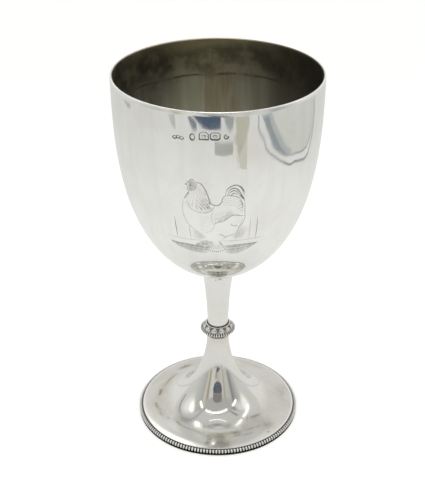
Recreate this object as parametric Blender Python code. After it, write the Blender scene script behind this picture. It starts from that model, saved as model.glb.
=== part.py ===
"""Silver prize goblet: a deep bowl on a tapered stem, a stamped knop with a row of small beads, and
a trumpet foot that spreads into a plate with a beaded border.

Run it with blender --background --python part.py, or from the text editor. Units are metres and
+Z is up. The origin is the centre of the ring on which the goblet stands. Every sub-part is one
object turned or wrapped round the Z axis. Each is modelled upwards from its own seat, and is then
placed by its location under one empty, in the order in which the pieces are soldered together.
"""

import math

import bmesh
import bpy
from mathutils import Vector

# Driving dimensions, in metres.

# The open seam left between two pieces that are soldered together.
SEAM = 0.0003

# Base wire: the flat ring under the border, on which the goblet stands.
BASE_WIRE_THICKNESS = 0.00045
BASE_WIRE_WIDTH = 0.0035
BASE_WIRE_SETBACK = 0.0002  # how far it stays inside the beads above it

# Foot: neck, trumpet and plate in one sheet, with a turned-down edge and a spigot on top.
FOOT_RADIUS = 0.0355
FOOT_HEIGHT = 0.04095  # from the lower edge to the shoulder inside the knop
FOOT_EDGE_DEPTH = 0.0018
FOOT_EDGE_ROUND = 0.0003
FOOT_WALL = 0.0008
NECK_RADIUS = 0.00485
NECK_PULL = 0.0132  # how far down the neck pulls the flare's curve
PLATE_PULL = 0.0245  # how far inwards the plate pulls it
PLATE_RISE = 0.0008  # how much the plate climbs over that pull
SPIGOT_LENGTH = 0.0070

# Foot bead wire: upright oval beads round the plate's edge.
FOOT_BEAD_PITCH = 0.001365
FOOT_BEAD_DEPTH = 0.00145
FOOT_BEAD_HEIGHT = 0.00175

# Upper stem: a tube that widens towards the bowl.
STEM_LENGTH = 0.0330
STEM_RADIUS = 0.00462
STEM_TOP_RADIUS = 0.00706
STEM_WALL = 0.0008

# Knop: two stamped halves round the joint of stem and foot, and a bead wire round their rims.
KNOP_DROP = 0.0006  # how far it reaches down past the foot's shoulder
KNOP_LOWER_HEIGHT = 0.0029
KNOP_UPPER_HEIGHT = 0.0027
KNOP_RIM_RADIUS = 0.0068
KNOP_BAND_WIDTH = 0.0006
KNOP_WALL = 0.0006
KNOP_BEAD_PITCH = 0.00108
KNOP_BEAD_DEPTH = 0.0009
KNOP_BEAD_HEIGHT = 0.0016
LEAF_RELIEF = 0.00018

# Bowl: one raised sheet with a closed round bottom and a thicker lip.
BOWL_RADIUS = 0.0429
BOWL_DEPTH = 0.0912
BOWL_WALL = 0.0007
LIP_THICKNESS = 0.0010
LIP_DEPTH = 0.0030  # height over which the wall thickens into the lip

# Shape factors and counts.
BOWL_FULLNESS = 2.75  # exponent of the bowl's outline: a higher one is squarer
STEM_FLARE = 2.1  # exponent of the stem's taper: a higher one widens later
BEAD_WAIST = 0.40  # depth of the wire between two beads, as a share of a bead's depth
WAIST_HEIGHT = 0.80  # its height there, as a share of a bead's height
LEAVES = 12
WIDE_SIDES = 64
NARROW_SIDES = 32
BOWL_STEPS = 12
FLARE_STEPS = 10
STEM_STEPS = 7
LIP_STEPS = 4
LEAF_STEPS = 4
BEAD_STEPS = 2
BEAD_FACETS = 4

MERGE_DISTANCE = 1e-6
SHARP_ANGLE = math.radians(40)


def silver(name, colour, roughness):
    """A metal of this linear colour and roughness."""
    material = bpy.data.materials.new(name)
    material.use_nodes = True
    shader = material.node_tree.nodes["Principled BSDF"]
    shader.inputs["Base Color"].default_value = (*colour, 1)
    shader.inputs["Roughness"].default_value = roughness
    shader.inputs["Metallic"].default_value = 1
    return material


def finished(name, shape, material):
    """The bmesh as an object with smooth shading, broken at its corners."""
    bmesh.ops.recalc_face_normals(shape, faces=shape.faces)
    mesh = bpy.data.meshes.new(name)
    shape.to_mesh(mesh)
    shape.free()
    mesh.materials.append(material)
    mesh.shade_smooth()
    mesh.set_sharp_from_angle(angle=SHARP_ANGLE)
    piece = bpy.data.objects.new(name, mesh)
    bpy.context.scene.collection.objects.link(piece)
    return piece


def turned(name, outline, sides, material):
    """An outline of (radius, height) points, spun round the Z axis.

    It is closed by its last point meeting its first, or by both ends lying on the axis.
    """
    shape = bmesh.new()
    points = [shape.verts.new((radius, 0, height)) for radius, height in outline]
    edges = [shape.edges.new(pair) for pair in zip(points, points[1:])]
    if outline[0][0] > 0:
        edges.append(shape.edges.new((points[-1], points[0])))
    bmesh.ops.spin(
        shape, geom=points + edges, cent=(0, 0, 0), axis=(0, 0, 1), angle=math.tau, steps=sides
    )
    bmesh.ops.remove_doubles(shape, verts=shape.verts, dist=MERGE_DISTANCE)
    return finished(name, shape, material)


def wrapped(name, section_at, columns, material):
    """A ring whose section changes on its way round the Z axis.

    section_at gives the section's (radius, height) points for a column's number, and neighbouring
    sections are joined by faces.
    """
    shape = bmesh.new()
    rings = []
    for column in range(columns):
        angle = math.tau * column / columns
        rings.append(
            [
                shape.verts.new((radius * math.cos(angle), radius * math.sin(angle), height))
                for radius, height in section_at(column)
            ]
        )
    for here, there in zip(rings, rings[1:] + rings[:1]):
        for low, high in zip(range(len(here)), [*range(1, len(here)), 0]):
            shape.faces.new((here[low], there[low], there[high], here[high]))
    return finished(name, shape, material)


def flare_curve(start, start_pull, end_pull, end, steps):
    """Points of the cubic curve from start to end that heads for the two pulls."""
    points = []
    for step in range(steps + 1):
        share = step / steps
        rest = 1 - share
        points.append(
            rest**3 * start
            + 3 * rest**2 * share * start_pull
            + 3 * rest * share**2 * end_pull
            + share**3 * end
        )
    return points


def inner_face(points, thickness_at):
    """The curve moved to its left by the thickness that each point's height calls for."""
    moved = []
    for index, point in enumerate(points):
        before = points[max(index - 1, 0)]
        after = points[min(index + 1, len(points) - 1)]
        along = (after - before).normalized()
        moved.append(point + Vector((-along.y, along.x)) * thickness_at(point.y))
    return moved


def bead_section(column, radius, depth, height):
    """A wire's section: a half ellipse on a flat back, full at a bead and slimmer between two."""
    between = column % BEAD_STEPS == 0
    reach = depth * (BEAD_WAIST if between else 1)
    half = height / 2 * (WAIST_HEIGHT if between else 1)
    section = []
    for facet in range(BEAD_FACETS + 1):
        slant = math.pi * (facet / BEAD_FACETS - 1 / 2)
        section.append((radius + reach * math.cos(slant), height / 2 + half * math.sin(slant)))
    return section


def bead_wire(name, radius, pitch, depth, height, material):
    """A wire of upright beads, as many as fit round at this pitch, with its back at radius."""
    beads = round(math.tau * (radius + depth / 2) / pitch)

    def section_at(column):
        return bead_section(column, radius, depth, height)

    return wrapped(name, section_at, beads * BEAD_STEPS, material)


def stem_radius(height):
    """Outer radius of the upper stem at a height above its seat."""
    share = min(max(height / STEM_LENGTH, 0), 1)
    return STEM_RADIUS + (STEM_TOP_RADIUS - STEM_RADIUS) * share**STEM_FLARE


def bowl_radius(height):
    """Outer radius of the bowl at a height above its underside."""
    down = (BOWL_DEPTH - height) / BOWL_DEPTH
    return BOWL_RADIUS * math.sqrt(max(1 - down**BOWL_FULLNESS, 0))


def bowl_rise(radius):
    """Height of the bowl's underside at a radius, above its lowest point."""
    inside = 1 - (radius / BOWL_RADIUS) ** 2
    return BOWL_DEPTH * (1 - inside ** (1 / BOWL_FULLNESS))


# Seats of the pieces above the table.
FOOT_SEAT = BASE_WIRE_THICKNESS + SEAM
SHOULDER = FOOT_SEAT + FOOT_HEIGHT
STEM_SEAT = SHOULDER + SEAM
KNOP_SEAT = SHOULDER - KNOP_DROP
KNOP_UPPER_SEAT = KNOP_SEAT + KNOP_LOWER_HEIGHT + SEAM
KNOP_BEAD_SEAT = KNOP_UPPER_SEAT - (SEAM + KNOP_BEAD_HEIGHT) / 2
BOWL_SEAT = STEM_SEAT + STEM_LENGTH + SEAM - bowl_rise(STEM_TOP_RADIUS - STEM_WALL)

# The bead wire hugs the foot's edge, and the base wire lies under both.
FOOT_BEAD_BACK = FOOT_RADIUS + SEAM


def foot_base_wire(material):
    """The flat ring: a rectangle turned round the axis."""
    outer = FOOT_BEAD_BACK + FOOT_BEAD_DEPTH - BASE_WIRE_SETBACK
    inner = outer - BASE_WIRE_WIDTH
    outline = [(outer, 0), (outer, BASE_WIRE_THICKNESS), (inner, BASE_WIRE_THICKNESS), (inner, 0)]
    return turned("foot_base_wire", outline, WIDE_SIDES, material)


def foot_bead_wire(material):
    """The beaded border of the foot."""
    return bead_wire(
        "foot_bead_wire",
        FOOT_BEAD_BACK,
        FOOT_BEAD_PITCH,
        FOOT_BEAD_DEPTH,
        FOOT_BEAD_HEIGHT,
        material,
    )


def foot(material):
    """The spigot and the flare outside, and the same sheet's inner face back up to the top."""
    top = FOOT_HEIGHT + SPIGOT_LENGTH
    spigot_radius = STEM_RADIUS - STEM_WALL - SEAM
    bore_radius = spigot_radius - FOOT_WALL
    lip = Vector((FOOT_RADIUS - FOOT_EDGE_ROUND, FOOT_EDGE_DEPTH))
    flare = flare_curve(
        Vector((NECK_RADIUS, FOOT_HEIGHT)),
        Vector((NECK_RADIUS, FOOT_HEIGHT - NECK_PULL)),
        lip + Vector((-PLATE_PULL, PLATE_RISE)),
        lip,
        FLARE_STEPS,
    )
    edge_inside = FOOT_RADIUS - FOOT_WALL
    ceiling = FOOT_EDGE_DEPTH - FOOT_WALL
    under = inner_face(flare[::-1], lambda height: FOOT_WALL)
    under = [point for point in under[:-1] if point.x < edge_inside - FOOT_EDGE_ROUND]
    outline = [
        (bore_radius, top),
        (spigot_radius, top),
        (spigot_radius, FOOT_HEIGHT),
        *flare,
        (FOOT_RADIUS, FOOT_EDGE_DEPTH - FOOT_EDGE_ROUND),
        (FOOT_RADIUS, 0),
        (edge_inside, 0),
        (edge_inside, ceiling),
        *under,
        (NECK_RADIUS - FOOT_WALL, FOOT_HEIGHT - FOOT_WALL),
        (bore_radius, FOOT_HEIGHT - FOOT_WALL),
    ]
    return turned("foot", outline, WIDE_SIDES, material)


def knop_under_collar(material):
    """The plain lower half of the knop: a stamped shell that opens upwards round the neck."""
    bore = max(NECK_RADIUS, stem_radius(KNOP_LOWER_HEIGHT)) + SEAM
    slope_top = KNOP_LOWER_HEIGHT - KNOP_BEAD_HEIGHT / 2
    rim_inside = KNOP_RIM_RADIUS - KNOP_WALL
    outline = [
        (bore, 0),
        (bore + KNOP_BAND_WIDTH, 0),
        (KNOP_RIM_RADIUS, slope_top),
        (KNOP_RIM_RADIUS, KNOP_LOWER_HEIGHT),
        (rim_inside, KNOP_LOWER_HEIGHT),
        (rim_inside, slope_top + KNOP_WALL / 2),
        (bore, KNOP_WALL + KNOP_WALL / 2),
    ]
    return turned("knop_under_collar", outline, NARROW_SIDES, material)


def knop_collar(material):
    """The upper half of the knop: a plain band round the stem above a slope of stamped leaves."""
    top = KNOP_UPPER_HEIGHT
    bore = stem_radius(KNOP_UPPER_SEAT + top - STEM_SEAT) + SEAM
    slope_low = Vector((KNOP_RIM_RADIUS, KNOP_BEAD_HEIGHT / 2))
    slope_high = Vector((bore + KNOP_BAND_WIDTH, top - KNOP_BAND_WIDTH / 3))
    slope = slope_high - slope_low
    outward = Vector((slope.y, -slope.x)).normalized()
    rim_inside = KNOP_RIM_RADIUS - KNOP_WALL

    def section_at(column):
        swell = math.sin(math.pi * column / LEAF_STEPS) ** 2
        leaf = outward * LEAF_RELIEF * (2 * swell - 1)
        low = slope_low + slope / 4 + leaf
        high = slope_high - slope / 4 + leaf
        return [
            (rim_inside, 0),
            (KNOP_RIM_RADIUS, 0),
            tuple(slope_low),
            tuple(low),
            tuple(high),
            tuple(slope_high),
            (bore + KNOP_BAND_WIDTH / 2, top),
            (bore, top),
            (bore, top - KNOP_WALL - KNOP_WALL / 2),
            (rim_inside, KNOP_BEAD_HEIGHT / 2 - KNOP_WALL / 2),
        ]

    return wrapped("knop_collar", section_at, LEAVES * LEAF_STEPS, material)


def knop_bead_wire(material):
    """The small beads round the rims of the two halves of the knop."""
    return bead_wire(
        "knop_bead_wire",
        KNOP_RIM_RADIUS + SEAM,
        KNOP_BEAD_PITCH,
        KNOP_BEAD_DEPTH,
        KNOP_BEAD_HEIGHT,
        material,
    )


def upper_stem(material):
    """The tapered tube, open at both ends."""
    heights = [STEM_LENGTH * step / STEM_STEPS for step in range(STEM_STEPS + 1)]
    outside = [(stem_radius(height), height) for height in heights]
    inside = [(radius - STEM_WALL, height) for radius, height in reversed(outside)]
    return turned("upper_stem", outside + inside, NARROW_SIDES, material)


def bowl_wall(height):
    """Thickness of the bowl's wall at a height above its underside."""
    into_lip = max(1 - (BOWL_DEPTH - height) / LIP_DEPTH, 0)
    return BOWL_WALL + (LIP_THICKNESS - BOWL_WALL) * into_lip


def bowl(material):
    """Outside from the pole up to the lip, over its half-round edge, and down the inside."""
    lip_foot = BOWL_DEPTH - LIP_DEPTH
    heights = []
    for step in range(BOWL_STEPS + 1):
        slant = math.pi / 2 * step / BOWL_STEPS
        height = bowl_rise(BOWL_RADIUS * math.sin(slant))
        if height < lip_foot - LIP_DEPTH:
            heights.append(height)
    heights.append(lip_foot)
    outside = [Vector((bowl_radius(height), height)) for height in heights]
    inside = inner_face(outside, bowl_wall)
    inside[0] = Vector((0, BOWL_WALL))
    edge = LIP_THICKNESS / 2
    lip = []
    for step in range(LIP_STEPS + 1):
        turn = math.pi * step / LIP_STEPS
        lip.append(
            (
                BOWL_RADIUS - edge + edge * math.cos(turn),
                BOWL_DEPTH - edge + edge * math.sin(turn),
            )
        )
    outline = [tuple(point) for point in outside] + lip + [tuple(p) for p in reversed(inside)]
    return turned("bowl", outline, WIDE_SIDES, material)


def build():
    """Clears the scene, then makes and seats every piece."""
    for old in list(bpy.data.objects):
        bpy.data.objects.remove(old)
    goblet = bpy.data.objects.new("goblet", None)
    bpy.context.scene.collection.objects.link(goblet)

    seated = [
        (foot_base_wire(silver("base_wire_silver", (0.52, 0.50, 0.45), 0.30)), 0),
        (foot(silver("foot_silver", (0.80, 0.79, 0.75), 0.20)), FOOT_SEAT),
        (foot_bead_wire(silver("foot_bead_silver", (0.62, 0.60, 0.55), 0.28)), FOOT_SEAT),
        (knop_under_collar(silver("knop_under_silver", (0.66, 0.64, 0.58), 0.26)), KNOP_SEAT),
        (knop_collar(silver("knop_silver", (0.74, 0.73, 0.68), 0.24)), KNOP_UPPER_SEAT),
        (knop_bead_wire(silver("knop_bead_silver", (0.68, 0.66, 0.60), 0.26)), KNOP_BEAD_SEAT),
        (upper_stem(silver("stem_silver", (0.83, 0.82, 0.78), 0.16)), STEM_SEAT),
        (bowl(silver("bowl_silver", (0.86, 0.85, 0.81), 0.12)), BOWL_SEAT),
    ]
    for piece, seat in seated:
        piece.parent = goblet
        piece.location.z = seat


build()
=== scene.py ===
"""Silver prize goblet: the looks of every piece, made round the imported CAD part.

The file follows the goblet as a silversmith puts it together, from the ring that it stands on up to
the bowl. Sizes are in millimetres and become metres when a mesh is made. The front is -Y.
"""

import math

import bpy
import numpy as np
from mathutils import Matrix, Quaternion, Vector


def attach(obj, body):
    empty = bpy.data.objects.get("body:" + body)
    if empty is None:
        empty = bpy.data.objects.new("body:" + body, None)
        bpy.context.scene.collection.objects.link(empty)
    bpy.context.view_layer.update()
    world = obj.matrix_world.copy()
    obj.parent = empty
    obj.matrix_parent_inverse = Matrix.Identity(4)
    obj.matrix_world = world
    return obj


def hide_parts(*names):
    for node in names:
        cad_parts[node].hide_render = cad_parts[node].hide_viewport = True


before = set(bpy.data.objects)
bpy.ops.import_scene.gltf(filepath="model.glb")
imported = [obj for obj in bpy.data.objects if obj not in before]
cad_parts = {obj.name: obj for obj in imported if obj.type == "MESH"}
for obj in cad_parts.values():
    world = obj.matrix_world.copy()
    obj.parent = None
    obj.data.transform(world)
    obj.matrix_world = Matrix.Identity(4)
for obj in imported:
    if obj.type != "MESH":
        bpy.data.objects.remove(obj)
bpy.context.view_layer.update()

# The table and the camera. The goblet stands on a white sheet in a white light tent, and is seen
# from in front and above. The sheet is paper white to the camera, and keeps the goblet's shadow.

TENT_LEVEL = 0.865
TENT_WHITE = (1.0, 0.995, 0.98, 1)
WHITE = (1, 1, 1, 1)
SHEET_LIT_NEAR = (0.905, 0.905, 0.895, 1)
SHEET_DIM_FAR = (0.76, 0.76, 0.75, 1)
SHEET_LIFT = 0.34
SHEET_REACH = 3000


def add_node(tree, kind, settings=None, **inputs):
    """A node of this kind in the tree. An input is a value, or the output that it is linked from."""
    made = tree.nodes.new(kind)
    for name, value in (settings or {}).items():
        setattr(made, name, value)
    for name, value in inputs.items():
        socket = made.inputs[int(name[1:])] if name[1:].isdigit() else made.inputs[name.replace("_", " ")]
        if isinstance(value, bpy.types.NodeSocket):
            tree.links.new(value, socket)
        else:
            socket.default_value = value
    return made


def math_node(tree, operation, first, second=0.0, third=0.0, clamp=False):
    """The output of one sum on values or outputs."""
    settings = {"operation": operation, "use_clamp": clamp}
    return add_node(tree, "ShaderNodeMath", settings, i0=first, i1=second, i2=third).outputs[0]


def times(tree, first, second, more=0.0, clamp=False):
    """The output of first times second, plus more."""
    return math_node(tree, "MULTIPLY_ADD", first, second, more, clamp)


def mix_colours(tree, share, low, high):
    """The output of a blend from the low colour to the high one."""
    settings = {"data_type": "RGBA", "clamp_factor": True}
    return add_node(tree, "ShaderNodeMix", settings, i0=share, i6=low, i7=high).outputs[2]


def object_place(tree):
    """The output that holds each point's place on its piece."""
    return add_node(tree, "ShaderNodeTexCoord").outputs["Object"]


def empty_material(name):
    """A new material and its empty tree."""
    made = bpy.data.materials.new(name)
    made.use_nodes = True
    made.node_tree.nodes.clear()
    return made, made.node_tree


def added(name, data):
    """A new object with this data, put into the scene."""
    made = bpy.data.objects.new(name, data)
    bpy.context.scene.collection.objects.link(made)
    return made


world = bpy.data.worlds.new("light_tent")
bpy.context.scene.world = world
world.use_nodes = True
world.node_tree.nodes.clear()
tree = world.node_tree
to_camera = add_node(tree, "ShaderNodeLightPath").outputs["Is Camera Ray"]
tent = add_node(tree, "ShaderNodeBackground", Color=TENT_WHITE, Strength=TENT_LEVEL)
paper = add_node(tree, "ShaderNodeBackground", Color=WHITE, Strength=1.0)
seen = add_node(tree, "ShaderNodeMixShader", i0=to_camera, i1=tent.outputs[0], i2=paper.outputs[0])
add_node(tree, "ShaderNodeOutputWorld", Surface=seen.outputs[0])


def sheet_finish():
    """White paper with a painted pool of light: it is greyer far from the goblet, and lifted to full white
    where the camera looks at it, so that only shadows show."""
    made, tree = empty_material("white_sheet")
    rays = add_node(tree, "ShaderNodeLightPath")
    out = add_node(tree, "ShaderNodeVectorMath", {"operation": "LENGTH"}, i0=object_place(tree))
    # Painted light: the paper's colour dims from near the goblet to far from it, as a pool of light would.
    far = add_node(tree, "ShaderNodeMapRange", Value=out.outputs["Value"], From_Min=0.10, From_Max=0.40)
    shade = mix_colours(tree, far.outputs[0], SHEET_LIT_NEAR, SHEET_DIM_FAR)
    paper = add_node(tree, "ShaderNodeBsdfDiffuse", Color=shade)
    lift = times(tree, rays.outputs["Is Camera Ray"], SHEET_LIFT)
    glow = add_node(tree, "ShaderNodeEmission", Color=WHITE, Strength=lift)
    both = add_node(tree, "ShaderNodeAddShader", i0=paper.outputs[0], i1=glow.outputs[0])
    add_node(tree, "ShaderNodeOutputMaterial", Surface=both.outputs[0])
    return made


def flat_piece(name, faces, finish):
    """Flat faces, each given by its corners in millimetres."""
    corners = np.concatenate([np.array(face, float) for face in faces]) * 0.001
    ends = np.cumsum([0, *map(len, faces)])
    mesh = bpy.data.meshes.new(name)
    mesh.from_pydata(corners.tolist(), [], [range(first, last) for first, last in zip(ends, ends[1:])])
    mesh.materials.append(finish)
    made = added(name, mesh)
    return made


sheet_corners = [(x * SHEET_REACH, y * SHEET_REACH, -0.02) for x, y in ((-1, -1), (1, -1), (1, 1), (-1, 1))]
flat_piece("white_sheet", [sheet_corners], sheet_finish())

photo_camera = added("photo_camera", bpy.data.cameras.new("photo_camera"))
photo_camera.data.sensor_width = 36
photo_camera.data.lens = 74.448
photo_camera.data.shift_x = -0.0108
photo_camera.data.clip_start = 0.01
photo_camera.data.clip_end = 20
photo_camera.location = (0, -0.3912, 0.3080)
photo_camera.rotation_euler = (math.radians(60.235), 0, 0)
bpy.context.scene.camera = photo_camera
bpy.context.scene.view_settings.view_transform = "Standard"

# The light. Strip lamps stand round the tent's mouth and along its top, and one hangs overhead.
# They give the foot its bright crescents. The tent's folds and what lies beyond its mouth are flat
# cards that show in the silver alone.

# How far from the goblet each stands, the lamps in metres and the cards in millimetres.
LAMP_DISTANCE = 0.48
CURTAIN_DISTANCE = 480
GLOW_DISTANCE = 476
NEAR_GLOW = 474
MOUTH_EDGE = 470
IN_THE_MOUTH = 460


def strip_lamp(name, azimuth, elevation, lean, width, height, strength):
    """A soft lamp that faces the goblet. Azimuth 0 is in front and 90 to the right, in degrees. A
    lean turns the strip's top towards greater azimuths."""
    data = bpy.data.lights.new(name, "AREA")
    data.shape = "RECTANGLE"
    data.size = width
    data.size_y = height
    data.energy = strength * math.pi * width * height
    lamp = added(name, data)
    side, up = math.radians(azimuth), math.radians(elevation)
    away = Vector((math.sin(side) * math.cos(up), -math.cos(side) * math.cos(up), math.sin(up)))
    lamp.location = away * LAMP_DISTANCE
    leaned = Quaternion((0, 0, 1), math.radians(-lean))
    lamp.rotation_euler = (away.to_track_quat("Z", "Y") @ leaned).to_euler()
    lamp.visible_camera = False


strip_lamp("lamp_left", -59, 42, 28, 0.026, 0.105, 2.6)
strip_lamp("lamp_right", 60, 40, -43, 0.022, 0.125, 2.6)
strip_lamp("lamp_side_right", 94, 48, -12, 0.028, 0.185, 1.35)
strip_lamp("lamp_top_front", -5, 60, 0, 0.400, 0.021, 2.6)
strip_lamp("lamp_top_left", -102, 71, -60, 0.038, 0.090, 2.0)
strip_lamp("lamp_top_right", 95, 69, 19, 0.030, 0.110, 1.35)
strip_lamp("lamp_over", 0, 90, 0, 0.100, 0.100, 4.2)


def spread(tree, value, low, high):
    """The value stretched, so that low gives 0 and high gives 1, smoothly and no further. The low
    value may be the greater of the two."""
    settings = {"interpolation_type": "SMOOTHSTEP"}
    return add_node(tree, "ShaderNodeMapRange", settings, Value=value, From_Min=low, From_Max=high).outputs[0]


def round_goblet(tree):
    """The outputs that hold each point's azimuth in radians and its height in metres."""
    x, y, z = add_node(tree, "ShaderNodeSeparateXYZ", Vector=object_place(tree)).outputs
    return math_node(tree, "ARCTAN2", x, times(tree, y, -1.0)), z


def reflected_card(name, faces, colour):
    """Something in or beyond the tent that shows only in the silver. Its colour is even, or goes
    round the goblet from one (azimuth, colour) to the next."""
    made, tree = empty_material(name)
    if isinstance(colour, list):
        share = times(tree, round_goblet(tree)[0], 1 / math.tau, 0.5)
        blend = add_node(tree, "ShaderNodeValToRGB", Fac=share)
        for azimuth, shade in colour:
            blend.color_ramp.elements.new(0.5 + azimuth / 360).color = (*shade, 1)
        shown = blend.outputs["Color"]
    else:
        shown = (*colour, 1)
    glow = add_node(tree, "ShaderNodeEmission", Color=shown, Strength=1.0)
    add_node(tree, "ShaderNodeOutputMaterial", Surface=glow.outputs[0])
    card = flat_piece(name, faces, made)
    card.visible_camera = False
    card.visible_diffuse = False
    card.visible_transmission = False
    card.visible_shadow = False


def level(outline, height):
    """One level face at this height, from its (x, y) outline in millimetres."""
    return [[(x, y, height) for x, y in outline]]


def wall(start, end, low, high, distance):
    """Upright faces that stand round the goblet at this distance, from one azimuth to another."""
    turns = np.radians(np.linspace(start, end, max(round((end - start) / 6), 1) + 1))
    line = [(distance * math.sin(turn), -distance * math.cos(turn)) for turn in turns]
    pairs = zip(line, line[1:])
    return [[(*here, low), (*there, low), (*there, high), (*here, high)] for here, there in pairs]


def round_to(outline, distance):
    """One upright face bent round the goblet at this distance, from its (azimuth, height) outline."""
    points = [(math.radians(azimuth), height) for azimuth, height in outline]
    return [[(distance * math.sin(turn), -distance * math.cos(turn), height) for turn, height in points]]


def ribbon(path, width):
    """The outline of a level band of this width along a path."""
    line = np.array(path, float)
    along = np.gradient(line, axis=0)
    side = np.stack([-along[:, 1], along[:, 0]], 1) / np.linalg.norm(along, axis=1)[:, None]
    return np.concatenate([line + side * width / 2, (line - side * width / 2)[::-1]])


def soft_glow(name, azimuth, height, half_turn, half_height, colour, distance=GLOW_DISTANCE):
    """A lamp's soft patch on the tent wall. It is brightest in its middle and fades to nothing over
    an ellipse, half_turn degrees and half_height millimetres from the middle to its edge."""
    wide, tall = 1.1 * half_turn, 1.1 * half_height
    reflected_card(name, wall(azimuth - wide, azimuth + wide, height - tall, height + tall, distance), colour)
    tree = bpy.data.materials[name].node_tree
    turn, up = round_goblet(tree)
    turned_by = math_node(tree, "SUBTRACT", turn, math.radians(azimuth))
    turned_by = math_node(tree, "WRAP", turned_by, math.pi, -math.pi)
    beside = math_node(tree, "DIVIDE", turned_by, math.radians(half_turn))
    above = math_node(tree, "DIVIDE", math_node(tree, "SUBTRACT", up, 0.001 * height), 0.001 * half_height)
    out = math_node(tree, "SQRT", times(tree, beside, beside, times(tree, above, above)))
    fade = spread(tree, out, 0.25, 1.0)
    glow = tree.nodes["Emission"].outputs[0]
    clear = add_node(tree, "ShaderNodeBsdfTransparent").outputs[0]
    both = add_node(tree, "ShaderNodeMixShader", i0=fade, i1=glow, i2=clear)
    tree.links.new(both.outputs[0], tree.nodes["Material Output"].inputs["Surface"])


TENT_FOLD = [
    (290, -345), (275, -315), (257, -297), (254, -269), (261, -240), (255, -214), (256, -182),
    (260, -147), (262, -109), (265, -72), (263, -34), (270, -2), (268, 40), (263, 80), (266, 108),
    (280, 130), (301, 157), (326, 179), (355, 196), (390, 215),
]
TENT_FOLD_BACK = [
    (318, -330), (299, -302), (299, -274), (292, -236), (284, -186), (282, -140), (284, -99), (289, -50),
    (292, 3), (290, 48), (291, 90), (302, 121), (316, 150), (346, 171), (389, 190),
]
fold_inside = [*TENT_FOLD_BACK, (900, 500), (1500, 0), (1200, -900), (420, -420)]
# What lies level with the table: each card's name, height, colour and outline.
AROUND = [
    ("blue_cloth", 1.0, (0.080, 0.112, 0.158), [
        (-186, -460), (-193, -400), (-138, -391), (-98, -387), (-47, -389), (3, -394), (22, -396),
        (21, -442), (20, -470),
    ]),
    ("dark_fold", 1.0, (0.17, 0.21, 0.22), [
        (-223, -377), (-203, -389), (-151, -386), (-139, -370), (-165, -360), (-190, -362),
    ]),
    ("grey_cloth", 1.0, (0.34, 0.37, 0.385), [
        (38, -450), (127, -435), (105, -388), (80, -380), (57, -399),
    ]),
    ("wooden_edge", 1.0, (0.50, 0.495, 0.425), [
        (131, -430), (229, -385), (217, -351), (185, -326), (108, -290), (112, -324), (93, -341),
        (100, -359), (120, -367),
    ]),
    ("wooden_side", 1.0, (0.60, 0.60, 0.535), [
        (108, -290), (185, -326), (171, -300), (147, -262), (130, -234), (104, -248),
    ]),
    ("grey_block", 1.0, (0.42, 0.43, 0.41), [(-20, -358), (90, -348), (88, -320), (81, -309), (-18, -321)]),
    ("left_strip", 1.0, (0.48, 0.50, 0.47), [
        (-333, -275), (-306, -318), (-269, -296), (-267, -283), (-290, -275),
    ]),
    ("fold_inside", 1.0, (0.615, 0.62, 0.585), fold_inside),
    ("left_spot", 1.0, (0.42, 0.43, 0.42), [(-400, 176), (-424, 83), (-413, 74), (-402, 112)]),
    ("fold_shade_light", 1.5, (0.45, 0.47, 0.47), [
        (299, -302), (362, -262), (347, -220), (335, -170), (318, -110), (303, -40), (289, -50),
        (284, -99), (282, -140), (284, -186), (292, -236),
    ]),
    ("fold_line", 1.5, (0.27, 0.29, 0.30), ribbon(TENT_FOLD, 7)),
    ("fold_back_line", 1.5, (0.36, 0.38, 0.39), ribbon(TENT_FOLD_BACK, 6)),
    ("grain_line", 1.5, (0.66, 0.66, 0.61), ribbon([
        (125, -372), (104, -352), (106, -322), (101, -290), (98, -250),
    ], 6)),
    ("fold_shade_dark", 2.0, (0.28, 0.32, 0.34), [
        (299, -300), (333, -262), (318, -222), (305, -165), (294, -100), (289, -50), (284, -99),
        (283, -140), (285, -186), (293, -236),
    ]),
]

# Round the mouth hang pale curtains with darker edges: the azimuth and the colour of each.
SURROUND = [
    (-125, (0.73, 0.725, 0.71)), (-106, (0.70, 0.70, 0.67)), (-82, (0.60, 0.605, 0.585)),
    (-70, (0.54, 0.555, 0.535)), (-59, (0.475, 0.48, 0.45)), (-54, (0.66, 0.63, 0.54)),
    (-48, (0.66, 0.63, 0.55)), (-43, (0.38, 0.36, 0.32)), (-39, (0.42, 0.40, 0.36)),
    (-34, (0.68, 0.67, 0.61)), (-25, (0.74, 0.73, 0.67)), (0, (0.55, 0.545, 0.49)),
    (22, (0.66, 0.65, 0.59)), (29, (0.42, 0.42, 0.39)), (34, (0.62, 0.62, 0.56)),
    (50, (0.58, 0.575, 0.53)), (57, (0.26, 0.27, 0.27)), (64, (0.40, 0.405, 0.41)),
    (88, (0.68, 0.68, 0.67)), (125, (0.73, 0.725, 0.71)),
]
DARK_LOW = [
    (-21, (0.09, 0.12, 0.15)), (-8, (0.11, 0.165, 0.215)), (3, (0.15, 0.155, 0.195)),
    (12, (0.14, 0.145, 0.18)), (18, (0.09, 0.09, 0.10)),
]
low_outline = [
    (-19, 253), (-21, 200), (-17, 145), (-9, 126), (0, 121), (9, 126), (16, 145), (18, 200), (16.5, 253),
]
hood_outline = [
    (-19, 256), (16.5, 256), (17, 330), (14, 400), (7, 430), (-2, 440), (-10, 430), (-17, 400),
    (-20, 330),
]
shade_outline = [
    (-46, 350), (-24, 325), (-20, 345), (-17, 405), (-10, 436), (-2, 446), (8, 436), (15, 404),
    (18, 340), (30, 318), (48, 335), (52, 610), (-52, 610),
]
stand_outline = [(-6, 3), (14, 3), (9, 24), (-4, 42), (-12, 38)]
leg_outline = [(-5, 42), (-8, 95), (-14, 92), (-13, 40)]
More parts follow.
